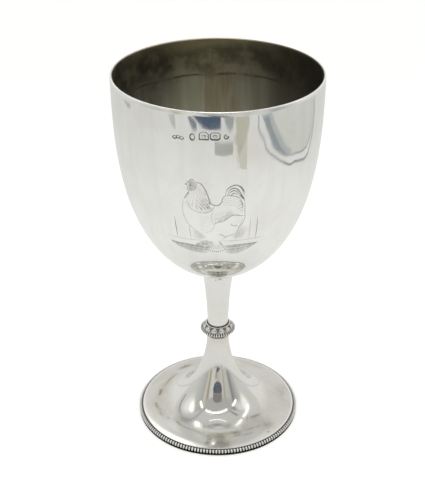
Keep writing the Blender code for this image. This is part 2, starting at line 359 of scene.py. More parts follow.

# The tent's top, with its corner, its seams and the ring that it hangs from, which glows brighter
# than white as painted light from above.
top_outline = [(760 * math.cos(turn), 760 * math.sin(turn)) for turn in np.linspace(0, math.tau, 33)[:-1]]
corner_outline = [(-420, 60), (-500, 130), (-560, 250), (-560, 330), (-440, 330), (-400, 200)]
left_seam = ribbon([
    (-520, -470), (-538, -370), (-530, -240), (-500, -110), (-462, 50), (-440, 175), (-460, 255),
    (-520, 300), (-620, 300),
], 52)
right_seam = ribbon([(415, -600), (430, -500), (452, -386), (470, -290), (485, -215), (505, -130)], 66)
glowing_top_ring = ribbon([(-175, -172), (-130, -222), (-30, -261), (59, -245), (130, -192), (166, -146)], 24)
OVERHEAD = [
    ("tent_top", 900, (0.66, 0.66, 0.65), top_outline),
    ("tent_corner", 885, (0.37, 0.40, 0.43), corner_outline),
    ("tent_seam_left", 880, (0.42, 0.44, 0.45), left_seam),
    ("tent_seam_right", 880, (0.33, 0.35, 0.36), right_seam),
    ("tent_ring", 870, (1.6, 1.6, 1.57), glowing_top_ring),
]

for name, height, colour, outline in AROUND:
    reflected_card(name, level(outline, height), colour)
reflected_card("curtains", wall(-125, 125, 2, 620, CURTAIN_DISTANCE), SURROUND)
reflected_card("curtain_edge", wall(-118, -114.5, 150, 620, CURTAIN_DISTANCE - 5), (0.40, 0.42, 0.42))
soft_glow("glow_behind_left", -149, 640, 19, 170, (0.88, 0.88, 0.865))
soft_glow("glow_left_of_stem", -170, 490, 7, 150, (2.3, 2.3, 2.25), NEAR_GLOW)
soft_glow("mouth_side_right", 77, 455, 24, 190, (0.80, 0.81, 0.82))
soft_glow("glow_left", -96, 400, 20, 300, (0.97, 0.97, 0.95))
soft_glow("glow_left_core", -87, 450, 10.5, 220, (1.55, 1.55, 1.52), NEAR_GLOW)
soft_glow("glow_right", 92, 350, 15, 230, (1.15, 1.15, 1.08), NEAR_GLOW)
reflected_card("mouth_shade", round_to(shade_outline, MOUTH_EDGE), (0.50, 0.505, 0.495))
reflected_card("dark_coat", round_to(low_outline, IN_THE_MOUTH), DARK_LOW)
reflected_card("lens_hood", round_to(hood_outline, IN_THE_MOUTH), (0.265, 0.250, 0.262))
reflected_card("stand", round_to(stand_outline, IN_THE_MOUTH), (0.13, 0.135, 0.14))
reflected_card("stand_leg", round_to(leg_outline, IN_THE_MOUTH), (0.34, 0.34, 0.32))
for name, height, colour, outline in OVERHEAD:
    reflected_card(name, level(outline, height), colour)

# Base wire. A flat ring of plain silver wire, soldered under the foot's edge and its beads. The
# goblet stands on it, so its underside is rubbed, and it is coloured dark, blackest near its edge.

SEAM = 0.3
BASE_THICKNESS = 0.45
BASE_OUTER = 37.05
BASE_INNER = 33.55
BASE_ROUND = 0.14
BASE_SIDES = 256
WARM_FILM = (0.74, 0.71, 0.62)
BLACK_TARNISH = (0.035, 0.032, 0.026, 1)


def new_piece(name, points, corners, counts, finish, marks):
    """A smooth mesh from arrays. points are in millimetres, corners are all the faces' points in one
    run, counts says how many each face has, and marks are values per point that the finish reads."""
    mesh = bpy.data.meshes.new(name)
    mesh.vertices.add(len(points))
    mesh.vertices.foreach_set("co", (0.001 * points).astype(np.float32).ravel())
    mesh.loops.add(len(corners))
    mesh.loops.foreach_set("vertex_index", corners.astype(np.int32))
    mesh.polygons.add(len(counts))
    mesh.polygons.foreach_set("loop_start", (np.cumsum(counts) - counts).astype(np.int32))
    mesh.update(calc_edges=True)
    mesh.validate()
    for mark, values in marks.items():
        kept = mesh.attributes.new(mark, "FLOAT", "POINT")
        kept.data.foreach_set("value", values.astype(np.float32).ravel())
    mesh.shade_smooth()
    mesh.materials.append(finish)
    return added(name, mesh)


def ring(name, angle, radius, height, finish, **marks):
    """A closed ring of sections. angle is a column of angles, from the front towards the right. Row i
    of radius and height is the section at the i-th angle, and column j is a point round it, up the
    outside and down the inside. x is radius times the angle's sine, and y is minus radius times its
    cosine."""
    points = np.stack([radius * np.sin(angle), -radius * np.cos(angle), height + 0 * angle], -1)
    here = np.arange(radius.size).reshape(radius.shape)
    there = np.roll(here, -1, 0)
    corners = np.stack([here, there, np.roll(there, -1, 1), np.roll(here, -1, 1)], -1)
    counts = np.full(radius.size, 4)
    return new_piece(name, points.reshape(-1, 3), corners.ravel(), counts, finish, marks)


def turned(outline, sides):
    """The angles, radii and heights of an outline of (radius, height) points turned to a ring."""
    angle = math.tau * np.arange(sides) / sides
    line = np.array(outline, float)
    return angle[:, None], np.tile(line[:, 0], (sides, 1)), np.tile(line[:, 1], (sides, 1))


def softened(corners, reach, steps=5):
    """A closed outline with rounded corners. Each corner is cut back by reach along both its edges,
    and the cut is bridged by the parabola that leaves both edges without a break."""
    corner = np.array(corners, float)
    reach = np.broadcast_to(reach, len(corner))[:, None, None]
    before = np.roll(corner, 1, 0) - corner
    after = np.roll(corner, -1, 0) - corner
    before = (before / np.linalg.norm(before, axis=1)[:, None])[:, None]
    after = (after / np.linalg.norm(after, axis=1)[:, None])[:, None]
    share = np.linspace(0, 1, steps)[None, :, None]
    moved = corner[:, None] + reach * (before * (1 - share) ** 2 + after * share**2)
    return moved.reshape(-1, 2)


# The silver of this and of every other piece is sterling. It is nearly white, with fine scratches, a
# faint warm film and black tarnish in its hollows.
def group_of(name, inputs, outputs):
    """An empty node group with these named inputs and outputs, and its two end nodes."""
    group = bpy.data.node_groups.new(name, "ShaderNodeTree")
    for socket, (kind, value) in inputs.items():
        made = group.interface.new_socket(socket, in_out="INPUT", socket_type=kind)
        made.default_value = value
    for socket, kind in outputs.items():
        group.interface.new_socket(socket, in_out="OUTPUT", socket_type=kind)
    return group, group.nodes.new("NodeGroupInput"), group.nodes.new("NodeGroupOutput")


def noise(tree, place, scale, detail=3.0, roughness=0.5):
    """The output of a noise pattern, from 0 to 1 and mostly near a half."""
    pattern = {"Scale": scale, "Detail": detail, "Roughness": roughness}
    return add_node(tree, "ShaderNodeTexNoise", Vector=place, **pattern).outputs[0]


def make_wear_group():
    """Polish and rubbing: roughness in soft clouds, with fine scratches that run two ways."""
    number = "NodeSocketFloat"
    inputs = {"Gloss": (number, 0.1), "Clouds": (number, 0.04), "Scratches": (number, 0.3)}
    group, start, end = group_of("rubbed_polish", inputs, {"Roughness": number, "Height": number})
    place = object_place(group)
    clouds = spread(group, noise(group, place, 75, 4), 0.35, 0.7)
    ways = []
    for turn, stretch in (((0.3, 0.5, 0.2), (260, 2600, 2600)), ((0.9, -0.7, 1.1), (2200, 240, 2200))):
        grain = add_node(group, "ShaderNodeMapping", Vector=place, Rotation=turn, Scale=stretch).outputs[0]
        ways.append(spread(group, noise(group, grain, 1.0, 2), 0.60, 0.74))
    scratches = times(group, math_node(group, "MAXIMUM", *ways), start.outputs["Scratches"])
    cloudy = times(group, clouds, start.outputs["Clouds"], start.outputs["Gloss"])
    group.links.new(times(group, scratches, 0.12, cloudy), end.inputs["Roughness"])
    group.links.new(math_node(group, "SUBTRACT", 1.0, scratches), end.inputs["Height"])
    return group


def make_tarnish_group():
    """The metal's colour: clean silver under a warm film in clouds, going black in the hollows."""
    colour, number = "NodeSocketColor", "NodeSocketFloat"
    inputs = {
        "Clean": (colour, (0.87, 0.865, 0.84, 1)),
        "Film": (colour, (*WARM_FILM, 1)),
        "Filmed": (number, 0.3),
        "Black": (colour, BLACK_TARNISH),
        "Hollow": (number, 0.0),
    }
    group, start, end = group_of("silver_tarnish", inputs, {"Color": colour, "Dulling": number})
    place = object_place(group)
    clouds = spread(group, noise(group, place, 60, 5, 0.6), 0.38, 0.72)
    specks = spread(group, noise(group, place, 900, 2), 0.62, 0.75)
    film = times(group, times(group, specks, 0.35, clouds), start.outputs["Filmed"])
    metal = mix_colours(group, film, start.outputs["Clean"], start.outputs["Film"])
    edge = times(group, noise(group, place, 1500, 2), 0.3, -0.15)
    hollow = spread(group, math_node(group, "ADD", start.outputs["Hollow"], edge), 0.12, 0.85)
    group.links.new(mix_colours(group, hollow, metal, start.outputs["Black"]), end.inputs["Color"])
    group.links.new(times(group, hollow, 0.3), end.inputs["Dulling"])
    return group


wear_group = make_wear_group()
tarnish_group = make_tarnish_group()


def mark_of(tree, name):
    """The output that holds one of a mesh's marks."""
    return add_node(tree, "ShaderNodeAttribute", {"attribute_name": name}).outputs["Fac"]


def silver(name, clean, gloss, film=0.3, clouds=0.04, scratches=0.3, film_colour=WARM_FILM, relief=0.25):
    """Silver with its wear and tarnish. Returns the material, its tree, shader, colour output and
    roughness output, so that a section can lay its own stains over them. The mark named hollow is
    black tarnish."""
    made = bpy.data.materials.new(name)
    made.use_nodes = True
    tree = made.node_tree
    shader = tree.nodes["Principled BSDF"]
    shader.inputs["Metallic"].default_value = 1
    tarnish = add_node(
        tree, "ShaderNodeGroup", {"node_tree": tarnish_group},
        Clean=(*clean, 1), Film=(*film_colour, 1), Filmed=film, Hollow=mark_of(tree, "hollow"),
    )
    wear = add_node(
        tree, "ShaderNodeGroup", {"node_tree": wear_group}, Gloss=gloss, Clouds=clouds, Scratches=scratches
    )
    rough = math_node(tree, "ADD", wear.outputs["Roughness"], tarnish.outputs["Dulling"])
    scratched = wear.outputs["Height"]
    bump = add_node(tree, "ShaderNodeBump", Strength=relief, Distance=0.00002, Height=scratched)
    tree.links.new(tarnish.outputs["Color"], shader.inputs["Base Color"])
    tree.links.new(rough, shader.inputs["Roughness"])
    tree.links.new(bump.outputs[0], shader.inputs["Normal"])
    return made, tree, shader, tarnish.outputs["Color"], rough


def fit(piece, node):
    """The piece stands for this CAD node, which it hides, and rides on the one body."""
    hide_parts(node)
    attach(piece, "root")


def ramp(value, start, run):
    """0 up to start, from there evenly up to 1 over the run, and 1 beyond. With a run below 0 it
    rises towards lower values."""
    return np.clip((value - start) / run, 0, 1)


base_finish = silver(
    "base_wire_silver", (0.55, 0.53, 0.47), 0.24, film=0.8, scratches=0.6, film_colour=(0.30, 0.27, 0.20)
)[0]
base_corners = [(BASE_INNER, 0), (BASE_OUTER, 0), (BASE_OUTER, BASE_THICKNESS), (BASE_INNER, BASE_THICKNESS)]
base_angle, base_radius, base_height = turned(softened(base_corners, BASE_ROUND), BASE_SIDES)
# It is black on its upper side, out near the edge, under the beads.
base_hollow = ramp(base_height, 0.25, 0.2) * ramp(np.abs(base_radius - BASE_OUTER + 0.15), 1.4, -1)
base_wire = ring("base_wire", base_angle, base_radius, base_height, base_finish, hollow=base_hollow)
fit(base_wire, "foot_base_wire")

# Foot. One sheet of silver raised to a trumpet that spreads into a nearly flat plate, with its
# edge turned down and a spigot on top. Its polish is worn, with brown stains in a ring.

FOOT_SEAT = BASE_THICKNESS + SEAM
FOOT_RADIUS = 35.5
FOOT_HEIGHT = 40.95
FOOT_EDGE_DEPTH = 1.8
FOOT_EDGE_ROUND = 0.3
FOOT_WALL = 0.8
NECK_RADIUS = 4.85
NECK_PULL = 13.2
PLATE_PULL = 24.5
PLATE_RISE = 0.8
SPIGOT_RADIUS = 3.52
SPIGOT_TOP = 47.95
FOOT_SIDES = 288
DENT = (-2.9, -31.2)
DENT_DEPTH = 0.22
HAMMER_MARKS = 0.035
PLATE_GREY = (0.62, 0.61, 0.56, 1)
STAIN_AND_SHADE_BROWN = (0.26, 0.205, 0.125, 1)
RUBBED_AND_HIGHLIGHT_WHITE = (0.96, 0.955, 0.93, 1)


def flare(steps):
    """The trumpet's outline from its edge in to the neck: the cubic curve that leaves the edge
    along the plate and arrives at the neck straight up."""
    edge = np.array([FOOT_RADIUS - FOOT_EDGE_ROUND, FOOT_EDGE_DEPTH])
    plate = edge + (-PLATE_PULL, PLATE_RISE)
    neck = np.array([NECK_RADIUS, FOOT_HEIGHT])
    throat = neck - (0, NECK_PULL)
    t = np.linspace(0, 1, steps)[:, None]
    return (1 - t) ** 3 * edge + 3 * (1 - t) ** 2 * t * plate + 3 * (1 - t) * t**2 * throat + t**3 * neck


def offset(line, distance):
    """The line moved to its left by this distance, square to its own direction."""
    along = np.gradient(line, axis=0)
    along /= np.linalg.norm(along, axis=1)[:, None]
    return line + distance * np.stack([-along[:, 1], along[:, 0]], 1)


def waves(x, y, z, length, seed):
    """A gentle unevenness, mostly from -1 to 1, as the hammer leaves it: twice the mean of twelve
    plane waves, each about as long as length and running its own way."""
    dice = np.random.default_rng(seed)
    heading = dice.normal(size=(12, 3))
    heading /= np.linalg.norm(heading, axis=1)[:, None]
    heading *= math.tau / (length * dice.uniform(0.75, 1.6, 12))[:, None]
    phase = dice.uniform(0, math.tau, 12)
    total = 0 * x
    for (a, b, c), start in zip(heading, phase):
        total = total + np.cos(a * x + b * y + c * z + start)
    return total / 6


def bell(*shares):
    """1 where all the shares are 0, and less the further they are from it: the exponential of minus
    the sum of their squares."""
    return np.exp(-sum(share**2 for share in shares))


inner_edge = FOOT_RADIUS - FOOT_WALL
inner_spigot = SPIGOT_RADIUS - FOOT_WALL
outer_flare = flare(160)
inner_flare = offset(flare(60), FOOT_WALL)[::-1]
inner_flare = inner_flare[inner_flare[:, 0] < inner_edge - 0.4]
turned_edge = [(inner_edge, 0.08), (inner_edge + 0.08, 0), (FOOT_RADIUS - 0.1, 0), (FOOT_RADIUS, 0.1)]
edge_turn = np.linspace(0, math.pi / 2, 6)[:-1, None]
edge_middle = (FOOT_RADIUS - FOOT_EDGE_ROUND, FOOT_EDGE_DEPTH - FOOT_EDGE_ROUND)
edge_round = np.concatenate([np.cos(edge_turn), np.sin(edge_turn)], 1) * FOOT_EDGE_ROUND + edge_middle
spigot = [
    (NECK_RADIUS - 0.15, FOOT_HEIGHT + 0.08), (SPIGOT_RADIUS, FOOT_HEIGHT + 0.08),
    (SPIGOT_RADIUS, SPIGOT_TOP), (inner_spigot, SPIGOT_TOP), (inner_spigot, FOOT_HEIGHT - FOOT_WALL),
    (NECK_RADIUS - FOOT_WALL, FOOT_HEIGHT - FOOT_WALL - 0.1),
]
under_edge = [(inner_edge, FOOT_EDGE_DEPTH - FOOT_WALL)]
foot_outline = np.concatenate([turned_edge, edge_round, outer_flare, spigot, inner_flare[1:], under_edge])
foot_angle, foot_radius, foot_height = turned(foot_outline, FOOT_SIDES)
plate_x = foot_radius * np.sin(foot_angle)
plate_y = -foot_radius * np.cos(foot_angle)
loose = ramp(foot_radius, FOOT_RADIUS - 1.5, -8) * ramp(foot_radius, NECK_RADIUS, 6)
foot_height = foot_height + HAMMER_MARKS * loose * waves(plate_x, plate_y, 0, 13, 5)
dent = bell((plate_x - DENT[0]) / 1.4, (plate_y - DENT[1]) / 1.4)
foot_height = foot_height - DENT_DEPTH * dent + FOOT_SEAT

# For each of the stains: its angle from the front, its radius, how far it runs along the ring and
# across it, how much it slants outwards on its way round, and its strength.
STAINS = [
    (-146, 30.2, 3.6, 1.3, 0, 0.85), (-143, 29.6, 1.2, 0.5, 0, 0.60), (-120, 27.1, 5.0, 0.65, 0, 1.20),
    (-100, 27.8, 3.0, 0.9, 0, 1.00), (-112, 27.6, 9.0, 1.8, 0, 0.42), (-81, 29.4, 1.2, 0.7, 0, 0.90),
    (-77, 29.2, 1.4, 0.9, 0, 0.80), (-66, 28.8, 2.2, 0.6, 0, 0.85), (-56, 27.5, 0.9, 0.6, 0, 0.80),
    (-70, 28.6, 6.0, 1.4, -0.1, 0.42), (-32, 26.8, 5.5, 0.45, 0, 0.50), (47, 23.3, 2.7, 0.40, 0.2, 0.95),
    (46, 23.6, 3.0, 1.0, 0.2, 0.30), (49, 29.8, 3.5, 2.4, 0, 0.52), (44, 33.0, 1.0, 0.6, 0, 0.50),
    (34, 27.4, 2.5, 0.5, 0, 0.50), (14, 26.8, 4.0, 0.8, 0, 0.45), (17, 27.0, 2.2, 0.9, 0, 0.65),
    (-9, 28.3, 1.2, 0.9, 0, 0.60), (-7, 30.0, 0.9, 1.5, 0, 0.45), (2.5, 28.2, 1.5, 1.6, 0, 0.55),
    (1.5, 30.8, 1.1, 1.3, 0, 0.45), (-7, 27.2, 2.0, 0.5, 0, 0.35), (18, 28.6, 2.0, 0.6, 0, 0.45),
    (28, 29.4, 3.0, 0.6, 0, 0.30), (37, 22.4, 1.1, 0.35, -0.9, 0.70), (42, 28.0, 1.6, 0.4, 0, 0.75),
    (48, 28.6, 0.9, 0.5, 0, 0.70), (-44, 26.4, 1.3, 0.35, 0, 0.75), (-40, 26.7, 0.6, 0.3, 0, 0.8),
    (101, 29.8, 7.0, 3.0, 0, 0.30), (146, 32.2, 5.0, 0.8, 0, 0.25),
]


def stained(angle, radius):
    """How stained each point of the foot is: over all the stains, the most of the strength times a
    bell of the point's distance along the ring and across it, each as a share of the stain's own."""
    most = 0 * radius
    for turn, middle, along, across, slant, strength in STAINS:
        run = ((angle - math.radians(turn) + math.pi) % math.tau - math.pi) * middle
        out = radius - middle - slant * run
        most = np.maximum(most, strength * bell(run / along, out / across))
    return most


# The foot's marks: tarnish at its edge and on its spigot, painted shade under the knop, a painted
# glint in the dent, an edge worn bright, painted highlights on the flare in front, and a plate that
# is dull but wiped at both front sides.
foot_hollow = 1.2 * ramp(foot_radius, FOOT_RADIUS - 0.16, 0.1)
foot_hollow = foot_hollow + ramp(foot_height, FOOT_SEAT + FOOT_HEIGHT - 0.9, 0.5)
foot_top = foot_height > FOOT_SEAT + FOOT_EDGE_DEPTH - FOOT_EDGE_ROUND
# Painted glint: the dent is whitened where a lamp's glint falls in it.
dent_glint = np.clip(1.5 * bell((plate_x - DENT[0] - 0.2) / 1.2, (plate_y - DENT[1] + 0.6) / 1.3), 0, 1)
rubbed_edge = 0.7 * ramp(foot_radius, 34.6, 0.3)
# Painted shade under the knop, laid into the brown of the stains.
painted_knop_shade = 0.22 * ramp(foot_height, FOOT_SEAT + 36, 4) * np.clip(np.cos(foot_angle - 0.2), 0, 1) ** 2
wiped_right = ramp(foot_radius, 26, 4) * bell((foot_angle - 0.65) / 0.45)
wiped_left = 0.8 * ramp(foot_radius, 24, 3) * bell((foot_angle - 5.65) / 0.45)
# Painted highlights: a pale patch and a light arc on the flare in front, whitened and made rougher.
painted_pale_patch = 0.6 * bell((plate_x - 0.3) / 3.0, (plate_y + 24.0) / 0.8)
painted_light_arc = 0.9 * bell((foot_radius - 25.4) / 0.9) * ramp(np.cos(foot_angle), 0.9, 0.125)
painted_highlight = np.maximum(painted_light_arc, painted_pale_patch)
dull = (0.12 + 0.88 * ramp(foot_radius, 20.5, 4)) * np.clip(0.93 - 0.58 * (wiped_right + wiped_left), 0, 1)
foot_marks = {
    "hollow": foot_hollow,
    "stain_and_knop_shade": foot_top * np.maximum(stained(foot_angle, foot_radius), painted_knop_shade),
    "rubbed_and_highlight": foot_top * np.maximum(np.maximum(dent_glint, rubbed_edge), painted_highlight),
    "painted_highlight": foot_top * painted_highlight,
    "dull": dull,
}


def foot_finish():
    """The foot's silver. The plate is duller, its brown stains are grainy, its edge is worn bright, and
    painted shade and highlights lie on it: shade under the knop, a glint in the dent and light on the flare.
    """
    made, tree, shader, colour, rough = silver(
        "foot_silver", (0.80, 0.795, 0.765), 0.045, film=0.40, clouds=0.035, scratches=0.5
    )
    place = object_place(tree)
    patches = spread(tree, noise(tree, place, 95, 5, 0.65), 0.42, 0.64)
    plate = times(tree, mark_of(tree, "dull"), times(tree, patches, 0.3, 0.7))
    dulled = mix_colours(tree, plate, colour, PLATE_GREY)
    grains = times(tree, noise(tree, place, 1300, 3, 0.7), 2.2, -0.5)
    # Brown for the stains, and painted shade under the knop.
    stain_and_knop_shade = times(tree, mark_of(tree, "stain_and_knop_shade"), times(tree, patches, 0.5, grains), clamp=True)
    brown = mix_colours(tree, stain_and_knop_shade, dulled, STAIN_AND_SHADE_BROWN)
    # White where the edge is worn, and painted highlights in the dent and on the flare.
    bright = mix_colours(tree, mark_of(tree, "rubbed_and_highlight"), brown, RUBBED_AND_HIGHLIGHT_WHITE)
    tree.links.new(bright, shader.inputs["Base Color"])
    rough = times(tree, plate, 0.14, rough)
    rough = times(tree, mark_of(tree, "painted_highlight"), 0.36, rough)
    tree.links.new(times(tree, stain_and_knop_shade, 0.2, rough), shader.inputs["Roughness"])
    return made


foot_sheet = ring("foot_sheet", foot_angle, foot_radius, foot_height, foot_finish(), **foot_marks)
fit(foot_sheet, "foot")

# Foot beads. A strip of upright oval beads, stamped in one length, bent round the foot's edge and
# soldered to it. Their crowns are rubbed bright, and the slits between them hold black tarnish.

BEAD_STATIONS = np.array([-0.50, -0.42, -0.31, -0.12, 0.12, 0.31, 0.42])
BEAD_CORE = 0.40
FOOT_BEADS = 168
FOOT_BEAD_DEPTH = 1.45
FOOT_BEAD_TALL = 1.75


def bead_strip(name, back, count, depth, tall, seat, plump, slit, groove):
    """A ring of beads, whose flat back closes the seam behind it. Across one bead, its depth and
    height follow the root, of plump, of one less that power of the distance from its middle, and
    the plain core of the strip shows between two beads. Each section is half an ellipse. slit and
    groove say how black it is between the beads and along the back, and fade towards the rear."""
    across = np.tile(BEAD_STATIONS, count)
    angle = math.tau * (np.repeat(np.arange(count) + 0.5, len(BEAD_STATIONS)) + across)[:, None] / count
    swell = np.clip(1 - np.abs(across / 0.43) ** plump, 0, 1)[:, None] ** (1 / plump)
    reach = depth * np.maximum(swell, BEAD_CORE)
    half = tall / 2 * np.maximum(swell, 0.8)
    slant = np.linspace(-math.pi / 2, math.pi / 2, 8)
    radius = back + reach * np.cos(slant) ** 0.8
    radius[:, [0, -1]] -= SEAM - 0.02
    height = seat + tall / 2 + half * np.sin(slant)
    black = 0.45 + 0.55 * np.clip(0.6 + np.cos(angle), 0, 1)
    hollow = black * (slit * (1 - swell) + groove * ramp(radius, back + 0.455, -0.35))
    return ring(name, angle, radius, height, bead_finish, hollow=hollow)


bead_finish = silver("bead_silver", (0.99, 0.985, 0.965), 0.20, film=0.08, scratches=0.2)[0]
foot_beads = bead_strip(
    "foot_beads", FOOT_RADIUS + SEAM, FOOT_BEADS, FOOT_BEAD_DEPTH, FOOT_BEAD_TALL, FOOT_SEAT, 2.6, 2.1, 0.85
)
fit(foot_beads, "foot_bead_wire")

# Knop. Two stamped halves close round the joint of stem and foot, and a strip of small beads hides
# the line where they meet. The upper half is a ring of twelve leaves under a plain band.

SHOULDER = FOOT_SEAT + FOOT_HEIGHT
KNOP_SEAT = SHOULDER - 0.6
KNOP_RIM = 6.8
KNOP_LOWER = 2.9
KNOP_UPPER = 2.7
KNOP_UPPER_SEAT = KNOP_SEAT + KNOP_LOWER + SEAM
KNOP_BEADS = 44
KNOP_BEAD_TALL = 1.6
KNOP_BORE = 4.97
NECK_BORE = 5.15
BAND = 0.6
LEAVES = 12
LEAF_STATIONS = 28
KNOP_SIDES = 160
LEAF_RELIEF = 0.36

knop_finish = silver(
    "knop_silver", (0.80, 0.79, 0.75), 0.16, film=0.6, scratches=0.2, film_colour=(0.60, 0.56, 0.45)
)[0]
under_outline = softened(
    [
        (NECK_RADIUS + 0.02, 0.25), (NECK_BORE, 0.05), (NECK_BORE + BAND, 0.05), (KNOP_RIM - 0.32, 1.4),
        (KNOP_RIM, 2.05), (KNOP_RIM, KNOP_LOWER), (KNOP_RIM - BAND, KNOP_LOWER), (KNOP_RIM - BAND, 2.5),
        (NECK_RADIUS + 0.02, 0.9),
    ],
    [0.05, 0.08, 0.2, 0.3, 0.3, 0.1, 0.1, 0.1, 0.1],
    7,
)
under_angle, under_radius, under_height = turned(under_outline, KNOP_SIDES)
under_hollow = ramp(under_radius, NECK_BORE + 0.1, -0.3) + ramp(under_height, 1.9, 0.5)
under_height = under_height + KNOP_SEAT
knop_under = ring("knop_under", under_angle, under_radius, under_height, knop_finish, hollow=under_hollow)
fit(knop_under, "knop_under_collar")


def leaf_relief(across, along):
    """Height of the leaves from 0 to 1. across runs from -1/2 to 1/2 over one leaf, and along from
    0 at its tip to 1 at its root. A leaf narrows from its broad tip to its raised root, and falls
    off to its edges as a parabola."""
    wide = 0.50 - 0.34 * ramp(along, 0.12, 0.75)
    body = np.clip(1 - (across / wide) ** 2, 0, 1) ** 0.8
    return body * (0.72 + 0.28 * along)


leaf_columns = LEAVES * LEAF_STATIONS
leaf_angle = math.tau * np.arange(leaf_columns)[:, None] / leaf_columns
leaf_across = (np.arange(leaf_columns) / LEAF_STATIONS % 1 - 0.5)[:, None]
slope_low = np.array([KNOP_RIM, KNOP_BEAD_TALL / 2])
slope_high = np.array([KNOP_BORE + BAND, KNOP_UPPER - 0.28])
slope_run = slope_high - slope_low
slope_along = np.linspace(0, 1, 20)
slope_line = slope_low + slope_run * slope_along[:, None]
slope_line = offset(slope_line, -0.22 * np.sin(math.pi * slope_along)[:, None])
slope_out = np.array([slope_run[1], -slope_run[0]]) / np.linalg.norm(slope_run)
leaf_height = leaf_relief(leaf_across, slope_along) * np.sin(math.pi * (0.06 + 0.88 * slope_along)) ** 0.5
leaf_lift = LEAF_RELIEF * leaf_height - LEAF_RELIEF / 2
band_turn = np.linspace(-0.25, 1.0, 8) * math.pi
band_radius = KNOP_BORE + BAND / 2 + BAND / 2 * np.cos(band_turn)
band_line = np.stack([band_radius, KNOP_UPPER - 0.28 + 0.28 * np.sin(band_turn)], 1)
collar_bore = KNOP_BORE - 0.29
collar_rest = [
    (KNOP_BORE, KNOP_UPPER - 0.55), (collar_bore, KNOP_UPPER - 0.6), (collar_bore, KNOP_UPPER - 1.1),
    (KNOP_RIM - BAND, 0.4),
]
collar_start = [(KNOP_RIM - BAND, 0.02), (KNOP_RIM, 0.02), (KNOP_RIM, 0.42), (KNOP_RIM + SEAM + 0.08, 0.47)]
collar_line = np.concatenate([collar_start, slope_line, band_line, collar_rest])
collar_radius = np.tile(collar_line[:, 0], (leaf_columns, 1))
collar_height = np.tile(collar_line[:, 1], (leaf_columns, 1))
on_slope = slice(len(collar_start), len(collar_start) + len(slope_line))
collar_radius[:, on_slope] += leaf_lift * slope_out[0]
collar_height[:, on_slope] += leaf_lift * slope_out[1]
collar_hollow = ramp(collar_radius, KNOP_BORE + 0.14, -0.1)
collar_hollow[:, on_slope] = np.clip(0.60 - 1.3 * leaf_height, 0, 1) + 0.5 * bell((slope_along - 1) / 0.07)
collar_hollow[:, -len(collar_rest) :] = 1
collar_height = collar_height + KNOP_UPPER_SEAT
knop_leaves = ring("knop_leaves", leaf_angle, collar_radius, collar_height, knop_finish, hollow=collar_hollow)
fit(knop_leaves, "knop_collar")

KNOP_BEAD_DEPTH = 0.9
KNOP_BEAD_SEAT = KNOP_UPPER_SEAT - (SEAM + KNOP_BEAD_TALL) / 2
knop_beads = bead_strip(
    "knop_beads", KNOP_RIM + SEAM, KNOP_BEADS, KNOP_BEAD_DEPTH, KNOP_BEAD_TALL, KNOP_BEAD_SEAT, 2.0, 2.4, 0.25
)
fit(knop_beads, "knop_bead_wire")

# Upper stem. A tapered silver tube that sits over the foot's spigot inside the knop. Its wider end
# is soldered to the bowl's underside, with a small fillet of solder run round it.

STEM_LENGTH = 33.0
STEM_RADIUS = 4.62
STEM_TOP_RADIUS = 7.06
STEM_FLARE = 2.1
STEM_WALL = 0.8
STEM_SEAT = SHOULDER + SEAM
STEM_SIDES = 240
SOLDER_DROP = (-1.0, 73.4)
SOLDER_DARK_PATCH = (0.95, 73.5)

# The shape of the bowl's underside, which the stem's top and the fillet of solder meet.
BOWL_RADIUS = 42.9
BOWL_DEPTH = 91.2
BOWL_WALL = 0.7
BOWL_FULLNESS = 2.75


def bowl_rise(radius):
    """Height of the bowl's underside above its lowest point: the bowl's depth times one less the
    root, of the fullness, of one less the square of the radius as a share of the bowl's own."""
    inside = np.clip(1 - (radius / BOWL_RADIUS) ** 2, 0, 1)
    return BOWL_DEPTH * (1 - inside ** (1 / BOWL_FULLNESS))


BOWL_SEAT = STEM_SEAT + STEM_LENGTH + SEAM - bowl_rise(STEM_TOP_RADIUS - STEM_WALL)

stem_up = np.concatenate([np.linspace(0, 0.9, 40)[:-1], np.linspace(0.9, 1, 16)])
stem_outside = STEM_RADIUS + (STEM_TOP_RADIUS - STEM_RADIUS) * stem_up**STEM_FLARE
stem_side = np.stack([stem_outside, STEM_SEAT + STEM_LENGTH * stem_up], 1)
solder_radius = STEM_TOP_RADIUS + np.array([0.06, 0.17, 0.36, 0.66, 1.05])
solder_height = BOWL_SEAT + bowl_rise(solder_radius) - np.array([0.48, 0.27, 0.13, 0.05, 0.01])
solder_fillet = np.stack([solder_radius, solder_height], 1)
stem_top = [(STEM_TOP_RADIUS - 0.3, STEM_SEAT + STEM_LENGTH + 0.28)]
stem_line = np.concatenate([stem_side, solder_fillet, stem_top, stem_side[::-1] - (STEM_WALL, 0)])
stem_angle, stem_radius, stem_height = turned(stem_line, STEM_SIDES)
solder_x = stem_radius * np.sin(stem_angle)
solder_front = (np.cos(stem_angle) > 0) & (stem_radius > STEM_RADIUS)
solder_front = solder_front & (stem_height > STEM_SEAT + 0.8 * STEM_LENGTH)
drop_x, drop_height = SOLDER_DROP
solder_drop = solder_front * bell((solder_x - drop_x) / 0.55, (stem_height - drop_height) / 0.55)
# A dark patch beside the drop of solder, laid into the black of the hollows.
patch_beside = np.abs(solder_x - SOLDER_DARK_PATCH[0]) / 1.1
patch_above = np.abs(stem_height - SOLDER_DARK_PATCH[1]) / 0.85
solder_dark_patch = solder_front * np.exp(-(patch_beside**3) - patch_above**3)
stem_radius = stem_radius + 0.22 * solder_drop
stem_hollow = ramp(stem_height, KNOP_UPPER_SEAT + KNOP_UPPER + 0.15, -0.25) + 0.46 * solder_dark_patch
stem_finish = silver("stem_silver", (0.84, 0.84, 0.81), 0.12, film=0.35, scratches=0.25)[0]
stem_tube = ring("stem_tube", stem_angle, stem_radius, stem_height, stem_finish, hollow=stem_hollow)
fit(stem_tube, "upper_stem")

# Bowl. One sheet of silver raised to a deep round-bottomed bowl, thickened at the lip. It is bright
# outside and tarnished inside. The engraving and five blank punch marks are cut into its front.

